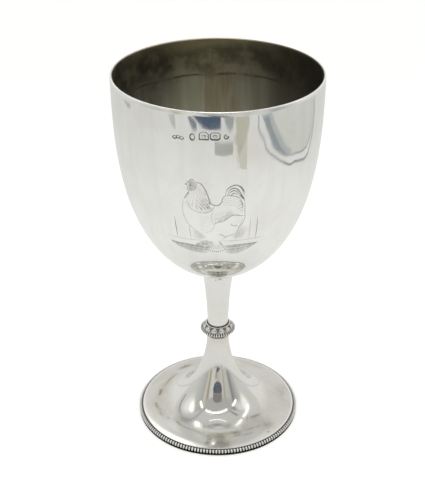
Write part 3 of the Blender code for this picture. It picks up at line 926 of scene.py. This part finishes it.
LIP_THICKNESS = 1.0
LIP_DEPTH = 3.0
FINE = 5
DRAWING_LIFT = 0.2
GROOVE_DEPTH = 0.045
PUNCH_DEPTH = 0.10
PUNCH_ROW = 101.6
POLE_RING = 0.6
LIP_ROUND = 1.571
PLAIN_SPACING = 2.0
DRAWN_SPACING = 0.70
LIP_SPACING = 0.16
DRAWN_HALF = math.radians(37)
HAMMER_BROAD = 0.028
HAMMER_SMALL = 0.005
RIM_HEIGHT = 0.1658
STREAK_GREY = (0.80, 0.79, 0.745, 1)
FILM_GREY = (0.80, 0.775, 0.70, 1)
CUT_BLACK = (0.09, 0.09, 0.08, 1)
LIP_HIGHLIGHT_WHITE = (0.94, 0.935, 0.92, 1)
DARK_BROWN = (0.22, 0.205, 0.16, 1)
LIGHT_BROWN = (0.48, 0.445, 0.335, 1)
DULL_OLIVE = (0.77, 0.76, 0.66, 1)
PALE_OLIVE = (0.95, 0.94, 0.855, 1)
WARM_BROWN = (0.52, 0.445, 0.34, 1)
SOOT = (0.12, 0.11, 0.085, 1)
TIDE_BROWN = (0.14, 0.125, 0.09, 1)
RIM_YELLOW = (0.60, 0.54, 0.37, 1)
PAINTED_FLANK_SHADE = (0.10, 0.095, 0.08, 1)
# How far below the rim, in metres, the brown gives way to dull silver, the soot fades, the tide line
# hangs, how thick it is to each side, and where the yellow under the rim ends.
BROWN_DEPTHS = (0.0095, 0.0215)
SOOT_DEPTHS = (0.044, 0.017)
TIDE_DEPTH = 0.0165
TIDE_HALF = 0.0008
YELLOW_DEPTH = 0.0055

# The engraving: a prize cockerel stands on a strip of ground before a few fence posts, cut by hand.
# x runs along the wall to the right of the front, and y up it from the bottom.
hem = [
    (-12.2, 73.5), (-11.4, 71.6), (-10.3, 69.9), (-8.8, 69), (-7, 68.5), (-4.9, 68.4), (-3.3, 68.9),
    (-2.2, 69.9), (-1.2, 71.4),
]
wing_low = [
    (-1.4, 62.5), (-0.7, 63.5), (0.8, 64.1), (2.6, 64.8), (4.1, 66.2), (5.6, 67.1), (7, 67.2),
    (8.7, 66.7), (10.5, 66.4),
]
# The bird's lines: the width and the tone of each, and the points that it runs through.
DRAWN = {
    "nape": (0.42, 1.0, [
        (-9, 82.3), (-7.8, 82.1), (-6.4, 81.6), (-5.1, 79.7), (-4.1, 77.3), (-3.4, 74.9), (-2.6, 72.9),
        (-1.1, 72.1), (0.3, 72.3), (1.4, 73.5), (1.9, 75.5), (2.8, 76.8),
    ]),
    "comb": (0.32, 0.9, [
        (-12, 81.2), (-11.6, 82.2), (-10.9, 82.3), (-10.5, 83.2), (-9.9, 83.3), (-9.4, 83.1), (-9, 82.3),
    ]),
    "beak": (0.30, 0.9, [(-11.6, 81.5), (-12.5, 80.9), (-11.6, 80.6)]),
    "face": (0.28, 0.8, [(-11.6, 80.6), (-11.6, 79.9), (-11.8, 78.9), (-11.2, 78)]),
    "cheek": (0.30, 0.8, [(-9, 82.3), (-8.3, 81.3), (-8.3, 80.2), (-8.9, 79.1), (-10, 78.4), (-11.2, 78)]),
    "wattle": (0.36, 0.9, [(-11.2, 78), (-11.6, 77), (-12.3, 76), (-12.8, 75), (-13, 74.3)]),
    "breast": (0.26, 0.5, [
        (-13, 74.3), (-13.6, 72.8), (-13.8, 70.5), (-13.8, 68.2), (-13.3, 66), (-12.6, 64.1),
        (-11.8, 62.3), (-10.4, 60.8), (-8.7, 59.3), (-6.8, 57.7), (-5.5, 56.3), (-4.2, 54.2),
    ]),
    "hem": (0.28, 0.6, hem),
    "wing_low": (0.34, 0.95, wing_low),
    "bow": (0.24, 0.45, [(-1.4, 62.5), (-2.2, 64.3), (-2.5, 66.3), (-2.3, 67.9), (-1.5, 69.6)]),
    "rump": (0.28, 0.75, [
        (10.3, 73.9), (10.5, 71.7), (10.5, 69.1), (10.6, 66.1), (10.2, 64.1), (9.5, 62.5), (8.4, 61.1),
        (7.8, 59.4), (7.2, 57.7), (5.8, 57.1), (3.9, 56.5), (2.6, 55.4), (1.3, 54),
    ]),
    "thigh_front": (0.24, 0.45, [(-1.4, 62.5), (-1.8, 60.8), (-2.3, 59.7), (-3.7, 58.7), (-5.2, 58.4)]),
    "thigh_low": (0.30, 0.8, [(0.1, 57.5), (1.3, 57.3), (2.4, 56.4), (3.5, 56.1)]),
    "thigh_back": (0.30, 0.8, [(5.1, 63.1), (5.7, 62), (6.8, 61.8), (7.9, 61.8)]),
}


def smooth_path(points, steps=8):
    """The smooth path through the points, which leaves each one in the direction from the one
    before to the one after. Between two it is the cubic that such directions give."""
    p = np.array(points, float)
    p = np.concatenate([[2 * p[0] - p[1]], p, [2 * p[-1] - p[-2]]])
    t = (np.arange(steps) / steps)[None, :, None]
    a, b, c, d = (p[i : len(p) - 3 + i, None] for i in range(4))
    curve = b + 0.5 * t * (c - a + t * (2 * a - 5 * b + 4 * c - d + t * (3 * (b - c) + d - a)))
    return np.concatenate([curve.reshape(-1, 2), p[-2:-1]])


def between(first, second, share, start=0.0, end=1.0, steps=14):
    """A stroke part of the way from one path to another, from start to end along both."""
    t = np.linspace(start, end, steps)
    pair = []
    for path in (first, second):
        p = smooth_path(path)
        along = np.linspace(0, 1, len(p))
        pair.append(np.stack([np.interp(t, along, p[:, 0]), np.interp(t, along, p[:, 1])], 1))
    return (1 - share) * pair[0] + share * pair[1]


def across(first, second, at, start=0.0, end=1.0, steps=3):
    """A stroke from one path over to another, at the same part of the way along both."""
    shares = np.linspace(start, end, steps)
    return np.concatenate([between(first, second, share, at, at, 1) for share in shares])


strokes = []
GRAVER_POINT = 0.12


def cut(path, width, tone, blunt=6.0):
    """Adds a stroke of the graver: its path, its width over that of the graver's point and how dark
    and deep it is from 0 to 1. A high blunt keeps the width up to the ends, and a low one thins it
    from the middle."""
    strokes.append((np.array(path, float), width + GRAVER_POINT, tone, blunt))


for width, tone, points in DRAWN.values():
    cut(smooth_path(points), width, tone)

# The head: eye, lobe, the small folds of comb and wattle, and close shading over all of it.
face_left = [(-11.5, 82.3), (-11.7, 80.8), (-11.6, 79.4), (-11.3, 78.2)]
face_right = [(-9.4, 83.1), (-8.6, 81.6), (-8.6, 79.9), (-10.1, 78.5)]
for hatch in range(13):
    cut(across(face_left, face_right, (hatch + 0.5) / 13, 0.03, 0.97), 0.22, 0.55 + 0.2 * (hatch % 2), 3)
eye_turn = np.linspace(0, math.tau, 10)
cut(np.stack([-10.55 + 0.28 * np.cos(eye_turn), 80.75 + 0.26 * np.sin(eye_turn)], 1), 0.24, 1.0, 20)
lobe = [(-9.3, 81.5), (-8.9, 80.8), (-9.2, 79.8), (-9.7, 80.1), (-9.7, 81), (-9.3, 81.5)]
cut(smooth_path(lobe), 0.22, 0.6)
cut(smooth_path([(-11, 77.9), (-11.3, 76.9), (-11.9, 75.8), (-12.5, 74.9), (-13, 74.3)]), 0.22, 0.6)
for step in range(12):
    row, place = step // 4, step % 4
    x, y = -11.2 + 0.62 * place + 0.2 * row, 82.2 - 1.05 * row - 0.25 * (step % 2)
    cut([(x, y), (x + 0.30, y - 0.42), (x + 0.22, y - 0.75)], 0.24, 0.7, 2)

# The hackle: lance-shaped feathers that flow from the head down to the hem, in staggered rows. Each
# narrows to its tip between a faint stroke and a darker one, with a short bold one in the gap.
neck_front = [(-11, 77.9), (-11.8, 75.6), (-12.1, 73.2), (-11.0, 70.6), (-9.4, 69.3)]
neck_back = [(-8.1, 81.8), (-5.4, 79.3), (-3.8, 75.5), (-2.8, 72.6), (-1.6, 70.6)]
hand = np.random.default_rng(3)
for row, (start, tone) in enumerate(((0.10, 0.26), (0.28, 0.36), (0.44, 0.52), (0.58, 0.74), (0.72, 0.95))):
    for feather in range(7):
        share = (feather + 0.35 + 0.5 * (row % 2)) / 7.6 + hand.uniform(-0.015, 0.015)
        root = between(neck_front, neck_back, share, start, start, 1)
        lean = min(-0.45 + 1.15 * min(max((root[0, 0] + 10.8) / 2.8, 0), 1), 0.75 - max(share - 0.6, 0))
        along = np.linspace(0, 1, 9)[:, None]
        middle = root + 2.2 * along * (lean, -1) + (0.5 - share) * along * (along - 1) * (1.6, 0)
        side = 0.20 * (1 - along**2) * (1, 0.4)
        dark = tone * (0.45 + 0.55 * share)
        if row == 4 and share < 0.2:
            continue
        cut(middle + side, 0.22, dark, 3)
        cut(middle - 0.8 * side, 0.20, 0.45 * dark, 3)
        if share * tone > 0.30:
            cut(middle[3:] + (0.34, 0.06), 0.44, dark, 2)
for step in range(3):
    cut(smooth_path(np.array(hem[4:]) + (0.1, 0.35 + 0.36 * step)), 0.22, 0.42 - 0.09 * step, 2)

# The wing: long quills under a stippled bow.
wing_top = [
    (-2.3, 66.6), (-0.8, 66.2), (1, 66.6), (2.8, 67.9), (4.4, 69.4), (6.2, 70), (8, 69.4), (10.1, 68.5),
]
for quill in range(4):
    root, tip = 0.04 + 0.03 * quill, 0.86 - 0.09 * quill
    cut(between(wing_low, wing_top, 0.2 + 0.19 * quill, root, tip), 0.22, 0.40, 4)
for speck in range(11):
    at, share = 0.06 + 0.055 * speck, 0.30 + 0.26 * (speck % 3)
    cut(between(wing_low, wing_top, share, at, at + 0.035, 3), 0.34, 0.75, 2)
for row in range(5):
    for spot in range(10):
        x, y = -1.7 + 0.72 * spot + 0.3 * (row % 2), 65.6 + 0.62 * row + 0.22 * spot
        cut([(x, y), (x + 0.16, y - 0.22), (x + 0.34, y)], 0.22, 0.42, 2)

# The tail: sickles that curl over, and shorter coverts round their root.
SICKLES = [
    ([(2.9, 76.9), (3.4, 79.1), (4.8, 80.5), (6.6, 81.1), (8.1, 80.6), (9.2, 79), (10.3, 76.3)], 0.34),
    ([(3.8, 77), (4.3, 78.8), (5.6, 79.7), (7.1, 79.5), (8.2, 78.2), (9.2, 76.4), (10.2, 74.5)], 0.40),
    ([(4.3, 76.9), (4.9, 78.1), (6.1, 78.7), (7.3, 78.1), (7.9, 76.8)], 0.36),
    ([(5, 76.4), (5.6, 77.3), (6.6, 77.4), (7.5, 76.7)], 0.32),
    ([(7.5, 81), (8.7, 80.2), (9.6, 78.9), (10.3, 77.5)], 0.50),
    ([(8.1, 76.4), (9, 75.8), (9.8, 74.8), (10.4, 73.7)], 0.50),
    ([(7.7, 77.6), (8.7, 76.7), (9.5, 75.6), (10.2, 75.2)], 0.32),
    ([(8.5, 74), (9.3, 72.8), (9.6, 71.5), (9.5, 70.2)], 0.30),
    ([(2.3, 76), (3.6, 76.6), (5.1, 76.4), (6.9, 76), (8.5, 74.8), (9.5, 72.5)], 0.24),
]
for path, width in SICKLES:
    cut(smooth_path(path), 1.55 * width, 1.0, 2)
tail_root = [(2.3, 75.6), (3.6, 76.2), (5.1, 76.0), (6.9, 75.6), (8.5, 74.4), (9.5, 72.1), (10, 70)]
saddle = [(0.6, 71.8), (2.4, 71.4), (4.4, 70.9), (6.2, 70.4), (7.6, 69.4), (8.8, 68), (9.6, 67)]
for row in range(4):
    for feather in range(8):
        start = 0.04 + 0.118 * feather + 0.05 * (row % 2)
        feathered = between(tail_root, saddle, 0.14 + 0.2 * row, start, start + 0.07, 4)
        cut(feathered, 0.22, 0.42 + 0.35 * start, 2)

# The fluff: small scallops over breast, thigh and rump.
for row in range(7):
    for scallop in range(7 - row // 2):
        x, y = -6.6 + 0.85 * scallop + 0.4 * (row % 2), 66.6 - 1.1 * row - 0.1 * scallop
        cut(smooth_path([(x - 0.26, y + 0.1), (x, y - 0.14), (x + 0.28, y + 0.1)], 3), 0.20, 0.34, 3)
for step in range(9):
    x, y = 9.9 - 0.30 * step, 65.2 - 1.0 * step
    cut([(x, y), (x - 0.35, y - 0.35), (x - 0.5, y - 0.9)], 0.22, 0.5, 2)

# The feet: thick feathering, light against the shaded ground. One foot fans out to dark tips, and
# short curled strokes cover the other.
fan_root = [(-1.4, 53.2), (-0.6, 53.7), (0.3, 53.6), (0.9, 52.9)]
fan_tips = [(-4.0, 47.7), (-2.3, 47.0), (-0.6, 46.8), (1.0, 47.0), (2.9, 48.2)]
for toe in range(9):
    at = toe / 8
    cut(across(fan_root, fan_tips, at, 0.25, 0.85), 0.18, 0.50, 3)
    tip = across(fan_root, fan_tips, at, 0.97, 1.0, 2)[0]
    cut([tip + (-0.22, 0.6), tip, tip + (0.2, 0.55)], 0.30, 0.95, 3)
cut(smooth_path([(-1.4, 53.0), (-2.7, 50.4), (-3.9, 47.6)]), 0.26, 0.7, 3)
cut(smooth_path([(0.5, 53.5), (1.2, 52.2), (2.0, 51.0)]), 0.50, 1.0, 3)
cut(smooth_path([(2.0, 51.0), (2.6, 49.4), (3.0, 48.0)]), 0.24, 0.6, 3)
plume_top = [(-8.4, 51.4), (-6.9, 53.0), (-4.7, 54.1), (-2.0, 53.6)]
plume_low = [(-8.3, 50.4), (-6.6, 49.3), (-5.0, 48.3), (-3.7, 47.8)]
for row in range(8):
    cut(between(plume_top, plume_low, 0.06 + 0.125 * row, 0.03, 0.97, 9), 0.42, 0.46, 4)
for curl in range(80):
    x, y = hand.uniform(-8.6, -1.6), hand.uniform(47.8, 54.0)
    if 50.2 - 0.47 * (x + 8.6) < y < 52.0 + 0.6 * (x + 8.6) and x < -1.7 - 0.46 * (53.2 - y):
        cut([(x - 0.30, y + 0.14), (x, y - 0.20), (x + 0.36, y + 0.05)], 0.34, hand.uniform(0.6, 1.0), 2)

# The ground: a rail, a kerb under it and shading in long strokes, with fence posts behind.
RAILS = [
    [(-21.5, 53.4), (-18.6, 53.6), (-16.2, 53.6), (-13.3, 53.6), (-10.4, 53.7), (-7.7, 53.8), (-5, 54.1)],
    [(1.1, 53.7), (4.2, 53.7), (8.3, 53.6), (12.1, 53.6), (15.6, 53.5), (19.3, 53.5)],
]
kerb_left = [
    (-19.7, 50.9), (-16.9, 50.6), (-14.5, 50.6), (-12.2, 50.7), (-9.7, 50.7), (-7.0, 50.6), (-4.0, 50.4),
]
kerb_right = [(1.8, 51), (4.5, 51), (7.7, 51.1), (11.1, 51), (13.9, 50.9), (16.5, 50.8)]
low_left = [(-19.5, 50.3), (-15.5, 47.9), (-11.8, 46.8), (-7.8, 46.2), (-3.5, 45.9)]
low_right = [(2.7, 46.3), (5.6, 45.6), (8.4, 45.8), (11.7, 47.3), (14.3, 49.2), (16.3, 50.4)]
for path in RAILS:
    cut(smooth_path(path), 0.24, 0.5)
cut(smooth_path(kerb_left[:-1]), 0.34, 0.9, 3)
cut(smooth_path(kerb_right), 0.34, 0.9, 3)
shaded = (
    (kerb_left, low_left, (0.0, 0.97), (0.42, 0.99)),
    (kerb_right, low_right, (0.03, 1.0), (0.02, 0.55)),
)
for top, bottom, ends, dense in shaded:
    for row in range(9):
        share = 0.09 + 0.107 * row
        shift = 0.03 * (row % 3)
        tone = (0.95, 0.80, 0.48, 0.72, 0.80, 0.44, 0.66, 0.52, 0.36)[row]
        cut(between(top, bottom, share, ends[0] + shift, ends[1] - shift, 16), 0.26, tone, 5)
        cut(between(top, bottom, share + 0.05, dense[0] + shift, dense[1] - shift, 14), 0.24, 0.8 * tone, 4)
POSTS = [
    ([(-17.4, 64.7), (-17.1, 60.9), (-16.7, 57.3), (-16.3, 53.5)], 0.36, 0.95),
    ([(-11.3, 61.8), (-11.1, 58.7), (-10.7, 53.7)], 0.28, 0.65),
    ([(13, 65.2), (12.7, 59.1), (12.3, 53.5)], 0.26, 0.5),
    ([(15.9, 65.1), (15.7, 59.4), (15.2, 53.5)], 0.34, 0.95),
    ([(6.9, 56.6), (6.8, 54.1)], 0.22, 0.5),
    ([(-19.6, 64), (-19.3, 58.4), (-18.9, 53.8)], 0.20, 0.22),
]
for path, width, tone in POSTS:
    cut(smooth_path(path), width, tone, 3)
behind = (
    (
        [(-10.3, 59.9), (-8.5, 58.7), (-6.6, 57.0), (-5.2, 55.4)],
        [(-10.4, 54.5), (-9.0, 54.4), (-7.5, 54.3), (-5.5, 54.5)],
    ),
    (
        [(9.2, 61.6), (8.2, 59.0), (7.4, 57.0), (5.0, 56.0)],
        [(12.2, 61.2), (11.4, 58.2), (9.8, 55.4), (7.5, 54.4)],
    ),
)
for near_bird, far_edge in behind:
    for row in range(9):
        line = between(near_bird, far_edge, 0.07 + 0.105 * row, 0.03 * (row % 2), 0.97, 10)
        cut(line, 0.24, 0.46 - 0.03 * row, 3)

# What wear has left round the drawing: a fine scratch over the back, and two specks to its right.
cut(smooth_path([(-4.1, 82.1), (-2.5, 81.2), (-0.8, 81.1)]), 0.22, 0.18, 3)
cut([(16.7, 79.9), (16.95, 79.7)], 0.40, 0.50)
cut([(22.6, 71.9), (22.8, 71.8)], 0.40, 0.25)


def bowl_outline():
    """(radius, height) from the pole up the outside, round the lip and down the inside. The outside
    is sampled by the arcsine of its radius, the lip is half a circle, and the inside is the outside
    moved in by the wall, which thickens towards the lip."""
    edge = LIP_THICKNESS / 2
    quarter = np.linspace(0, math.acos((edge / BOWL_DEPTH) ** (BOWL_FULLNESS / 2)), 700)
    outside = np.stack([BOWL_RADIUS * np.sin(quarter), bowl_rise(BOWL_RADIUS * np.sin(quarter))], 1)
    turn = np.linspace(0, math.pi, 40)[1:-1, None]
    lip = np.concatenate([np.cos(turn), np.sin(turn)], 1) * edge + (BOWL_RADIUS - edge, BOWL_DEPTH - edge)
    thicker = ramp(outside[:, 1:], BOWL_DEPTH - LIP_DEPTH, LIP_DEPTH)
    inside = offset(outside, BOWL_WALL + (LIP_THICKNESS - BOWL_WALL) * thicker)
    inside[-1] = (BOWL_RADIUS - LIP_THICKNESS, BOWL_DEPTH - edge)
    inside[0] = (0, BOWL_WALL)
    return np.concatenate([outside, lip, inside[::-1]]), len(outside)


outline, lip_start = bowl_outline()
outline_s = np.concatenate([[0], np.cumsum(np.linalg.norm(np.diff(outline, axis=0), axis=1))])
outline_along = np.gradient(outline, outline_s, axis=0)
outline_along /= np.linalg.norm(outline_along, axis=1)[:, None]
LIP_S = outline_s[lip_start - 1]
END_S = outline_s[-1]


def steps_to(start, end, spacing):
    """Evenly spaced values from start up to, but without, the end, about spacing apart."""
    count = max(round((end - start) / spacing), 1)
    return start + (end - start) * np.arange(count) / count


# The rows along the wall, close together where the bird, the punches and the lip are.
row_runs = (
    (POLE_RING, 44.0, PLAIN_SPACING), (44.0, 86.0, DRAWN_SPACING), (86.0, 98.0, 1.7),
    (98.0, 105.0, DRAWN_SPACING), (105.0, LIP_S, 1.4), (LIP_S, LIP_S + LIP_ROUND, LIP_SPACING),
    (LIP_S + LIP_ROUND, END_S - POLE_RING, PLAIN_SPACING),
)
row_s = np.concatenate([*(steps_to(*run) for run in row_runs), [END_S - POLE_RING]])
front_columns = steps_to(-DRAWN_HALF, DRAWN_HALF, math.radians(0.95))
back_columns = steps_to(DRAWN_HALF, math.tau - DRAWN_HALF, math.radians(2.8))
column_angle = np.concatenate([front_columns, back_columns, [math.tau - DRAWN_HALF]])
rows, columns = len(row_s) - 1, len(column_angle) - 1
fine_s = np.interp(np.arange(rows * FINE + 1) / FINE, np.arange(rows + 1), row_s)[:, None]
fine_angle = np.interp(np.arange(columns * FINE) / FINE, np.arange(columns + 1), column_angle)[None]
fine_radius = np.interp(fine_s, outline_s, outline[:, 0])
fine_height = np.interp(fine_s, outline_s, outline[:, 1])
fine_x = fine_radius * np.where(fine_angle > math.pi, fine_angle - math.tau, fine_angle)
fine_y = fine_s - DRAWING_LIFT + 0 * fine_angle
outside = (fine_s < LIP_S) + 0 * fine_angle > 0


def engraved(x, y, can_cut):
    """How deep the graver went at each point, from 0 to 1: over all strokes, the most of the tone
    times one and a half less the distance from the stroke's path over a third of its width there,
    and no more than the tone. The hand's pressure comes and goes in waves of about 3 mm."""
    pressure = 0.82 + 0.18 * np.sin(1.9 * x + 2.3 * y) * np.cos(1.1 * x - 2.9 * y)
    depth = np.zeros(x.shape)
    for path, width, tone, blunt in strokes:
        low, high = path.min(0) - width, path.max(0) + width
        near = np.nonzero((x > low[0]) & (x < high[0]) & (y > low[1]) & (y < high[1]) & can_cut)
        if not len(near[0]):
            continue
        point = np.stack([x[near], y[near]], 1)[:, None]
        start, run = path[:-1][None], np.diff(path, axis=0)[None]
        share = np.clip(((point - start) * run).sum(2) / np.maximum((run**2).sum(2), 1e-9), 0, 1)
        gap = np.linalg.norm(point - start - share[:, :, None] * run, axis=2)
        nearest = gap.argmin(1)[:, None]
        along = (nearest + np.take_along_axis(share, nearest, 1)) / run.shape[1]
        half = width / 2 * np.clip(1 - np.abs(2 * along - 1) ** blunt, 0.35, 1)
        groove = tone * np.clip(1.5 - 1.5 * np.take_along_axis(gap, nearest, 1) / half, 0, 1)
        depth[near] = np.maximum(depth[near], groove[:, 0] * pressure[near])
    return depth


def punched(x, y):
    """How deep the five punches went, from 0 to 1, and how dark each place is. Each field is flat,
    with a steep wall where the distance to its outline, less than 0 inside, passes 0."""
    up = y - PUNCH_ROW
    lobes = np.minimum(np.hypot(x + 16.4, (up + 1.5) * 1.3), np.hypot(x + 15.0, (up + 1.2) * 1.3))
    lobes = np.minimum(lobes, np.hypot(x + 13.6, (up + 1.5) * 1.3)) - 0.85
    oval = np.hypot(x + 9.5, (up + 0.65) * 0.72) - 1.0
    arched = np.maximum(np.maximum(np.abs(x + 5.2) - 1.8, -1.5 - up), np.hypot(x + 5.2, up + 0.35) - 2.1)
    aside = np.abs(x + 1.0)
    clipped = np.maximum(aside - 1.9, np.abs(up) - 1.5)
    clipped = np.maximum(clipped, (aside + np.abs(up)) * 0.7071 - 1.95)
    small = np.maximum(np.hypot(x - 3.15, up + 0.2) - 0.95, 0.55 - np.hypot(x - 3.6, up - 0.5))
    field = np.minimum(np.minimum(lobes, oval), np.minimum(np.minimum(arched, clipped), small))
    boss = np.minimum(np.hypot((x + 5.2) * 0.75, up + 0.2), np.hypot((x + 1.0) * 0.75, up + 0.1)) - 0.55
    sunk = ramp(field, 0, -0.30) * (1 - 0.6 * ramp(boss, 0, -0.25))
    steep = bell((field + 0.10) / 0.22) + 0.45 * bell(boss / 0.2) * (field < 0)
    return sunk, np.clip(steep + 0.18 * (field < 0), 0, 1)


groove = engraved(fine_x, fine_y, outside)
punch_band = outside & (np.abs(fine_y - PUNCH_ROW) < 3.2) & (fine_x > -19) & (fine_x < 6)
punch, punch_dark = (np.where(punch_band, value, 0) for value in punched(fine_x, fine_y))
worked = (groove > 0) | (punch > 0.0) | (punch_dark > 0.03)
patch = worked[:-1] | worked[1:] | np.roll(worked, -1, 1)[:-1] | np.roll(worked, -1, 1)[1:]
refined = patch.reshape(rows, FINE, columns, FINE).any((1, 3))

# Only cells that the graver or a punch touched are split, FINE times each way. A plain cell next
# to one takes that cell's points into its own edge, so that no crack opens.
small_cells = refined.repeat(FINE, 0).repeat(FINE, 1)
used = np.zeros((rows * FINE + 1, columns * FINE), bool)
used[::FINE, ::FINE] = True
for shifted in (small_cells, np.roll(small_cells, 1, 1)):
    used[:-1] |= shifted
    used[1:] |= shifted
number = np.cumsum(used).reshape(used.shape) - 1
number = np.concatenate([number, number[:, :1]], 1)
used = np.concatenate([used, used[:, :1]], 1)
i, j = np.nonzero(small_cells)
small_faces = np.stack([number[i, j], number[i, j + 1], number[i + 1, j + 1], number[i + 1, j]], 1)
i, j = (index[:, None] * FINE for index in np.nonzero(~refined))
t = np.arange(FINE)[None]
edge_i = np.concatenate([i + 0 * t, i + t, i + FINE + 0 * t, i + FINE - t], 1)
edge_j = np.concatenate([j + t, j + FINE + 0 * t, j + FINE - t, j + 0 * t], 1)
edge_used = used[edge_i, edge_j]
plain_corners = number[edge_i, edge_j][edge_used]
bottom_ring = number[0, :-1:FINE]
inner_ring = number[-1, :-1:FINE]
point_count = int(number.max()) + 1
bottom_fan = np.stack([np.full(columns, point_count), np.roll(bottom_ring, -1), bottom_ring], 1)
inner_fan = np.stack([np.full(columns, point_count + 1), inner_ring, np.roll(inner_ring, -1)], 1)
bowl_corners = np.concatenate([small_faces.ravel(), plain_corners, bottom_fan.ravel(), inner_fan.ravel()])
bowl_counts = np.concatenate([np.full(len(small_faces), 4), edge_used.sum(1), np.full(2 * columns, 3)])

# The wall follows the outline, moved in by the cuts and by the hammer's gentle unevenness.
normal_r = np.interp(fine_s, outline_s, outline_along[:, 1])
normal_h = -np.interp(fine_s, outline_s, outline_along[:, 0])
round_x, round_y = fine_radius * np.sin(fine_angle), -fine_radius * np.cos(fine_angle)
calm = ramp(np.abs(fine_s - LIP_S - 0.8), 3, 12) * np.clip(fine_radius / 12, 0, 1)
broad = waves(round_x, round_y, fine_height + 0 * fine_angle, 16, 11)
small = waves(round_x, round_y, fine_height + 0 * fine_angle, 6, 12)
uneven = calm * (HAMMER_BROAD * broad + HAMMER_SMALL * small - (HAMMER_BROAD + HAMMER_SMALL))
move = uneven - GROOVE_DEPTH * groove - PUNCH_DEPTH * punch
wall_radius = fine_radius + normal_r * move
wall_height = fine_height + normal_h * move
wall_x, wall_y = wall_radius * np.sin(fine_angle), -wall_radius * np.cos(fine_angle)
kept = used[:, :-1]
bowl_points = np.stack([wall_x[kept], wall_y[kept], wall_height[kept]], 1)
bowl_points = np.concatenate([bowl_points, [(0, 0, 0), (0, 0, BOWL_WALL)]]) + (0, 0, BOWL_SEAT)
inside_mark = ramp(fine_s, LIP_S + 0.75, 0.35) + 0 * fine_angle
# Painted highlight: the lip is whitened and made rougher, so that it shows as one bright line.
lip_highlight_mark = ramp(np.abs(fine_s - LIP_S - 0.5), 1.26, -0.7) + 0 * fine_angle
bowl_marks = {
    "hollow": np.append(0.8 * punch_dark[kept], [0, 0]),
    "engraved": np.append(groove[kept], [0, 0]),
    "inside": np.append(inside_mark[kept], [0, 1]),
    "lip": np.append(lip_highlight_mark[kept], [0, 0]),
}


def bowl_finish():
    """Bright silver outside, with a painted highlight along the lip. Inside, black-brown tarnish hangs
    from the rim down to a tide line, and fades below it into a dull olive grey with streaks. Painted
    shade darkens the inside's flanks, the right far more than the left."""
    made, tree, shader, colour, rough = silver(
        "bowl_silver", (0.915, 0.922, 0.902), 0.035, film=0.20, clouds=0.035, scratches=0.25, relief=0.1
    )
    place = object_place(tree)
    x, y, z = add_node(tree, "ShaderNodeSeparateXYZ", Vector=place).outputs
    streak_place = add_node(tree, "ShaderNodeMapping", Vector=place, Scale=(1.0, 1.0, 0.08)).outputs[0]
    streaks = noise(tree, streak_place, 210, 3)
    clouds = noise(tree, place, 120, 5, 0.62)
    lip = mark_of(tree, "lip")
    inside = mark_of(tree, "inside")

    outer = mix_colours(tree, times(tree, spread(tree, streaks, 0.45, 0.72), 0.35), colour, STREAK_GREY)
    filmed = times(tree, spread(tree, noise(tree, place, 45, 5, 0.62), 0.50, 0.72), 0.45)
    outer = mix_colours(tree, filmed, outer, FILM_GREY)
    outer = mix_colours(tree, mark_of(tree, "engraved"), outer, CUT_BLACK)
    # Painted highlight along the lip.
    outer = mix_colours(tree, lip, outer, LIP_HIGHLIGHT_WHITE)

    down = math_node(tree, "SUBTRACT", RIM_HEIGHT, z)
    drift = times(tree, noise(tree, place, 60, 5, 0.6), 0.012, -0.006)
    tide_depth = math_node(tree, "ADD", down, drift)
    at_back = spread(tree, y, 0.012, 0.034)
    dark = mix_colours(tree, spread(tree, clouds, 0.40, 0.68), DARK_BROWN, LIGHT_BROWN)
    dull = mix_colours(tree, spread(tree, streaks, 0.35, 0.68), DULL_OLIVE, PALE_OLIVE)
    middle = times(tree, spread(tree, math_node(tree, "ABSOLUTE", x), 0.011, 0.005), at_back)
    warm = times(tree, middle, spread(tree, noise(tree, streak_place, 420, 2), 0.30, 0.62))
    dull = mix_colours(tree, times(tree, warm, 0.8), dull, WARM_BROWN)
    dull = mix_colours(tree, times(tree, spread(tree, down, *SOOT_DEPTHS), 0.26), dull, SOOT)
    lining = mix_colours(tree, spread(tree, tide_depth, *BROWN_DEPTHS), dark, dull)

    from_tide = times(tree, drift, 0.30, math_node(tree, "SUBTRACT", down, TIDE_DEPTH))
    tide = spread(tree, math_node(tree, "ABSOLUTE", from_tide), TIDE_HALF, 0.0001)
    tide = times(tree, tide, times(tree, at_back, spread(tree, clouds, 0.40, 0.58)))
    lining = mix_colours(tree, times(tree, tide, 0.75), lining, TIDE_BROWN)
    rim = times(tree, spread(tree, tide_depth, YELLOW_DEPTH, 0.0005), times(tree, at_back, 0.45, 0.25))
    lining = mix_colours(tree, rim, lining, RIM_YELLOW)
    # Painted shade: the inside's flanks are darkened towards the back, the right far more than the left.
    right_flank_shade = times(tree, spread(tree, x, 0.004, 0.032), 0.84)
    flank_shade = times(tree, spread(tree, x, -0.026, -0.042), 0.08, right_flank_shade)
    flank_shade = times(tree, flank_shade, spread(tree, y, -0.045, 0.010))
    lining = mix_colours(tree, flank_shade, lining, PAINTED_FLANK_SHADE)

    tree.links.new(mix_colours(tree, inside, outer, lining), shader.inputs["Base Color"])
    dulled = times(tree, inside, times(tree, clouds, 0.25, 0.15))
    dulled = times(tree, lip, 0.20, dulled)
    tree.links.new(math_node(tree, "ADD", rough, dulled), shader.inputs["Roughness"])
    return made


bowl_sheet = new_piece("bowl_sheet", bowl_points, bowl_corners, bowl_counts, bowl_finish(), bowl_marks)
fit(bowl_sheet, "bowl")
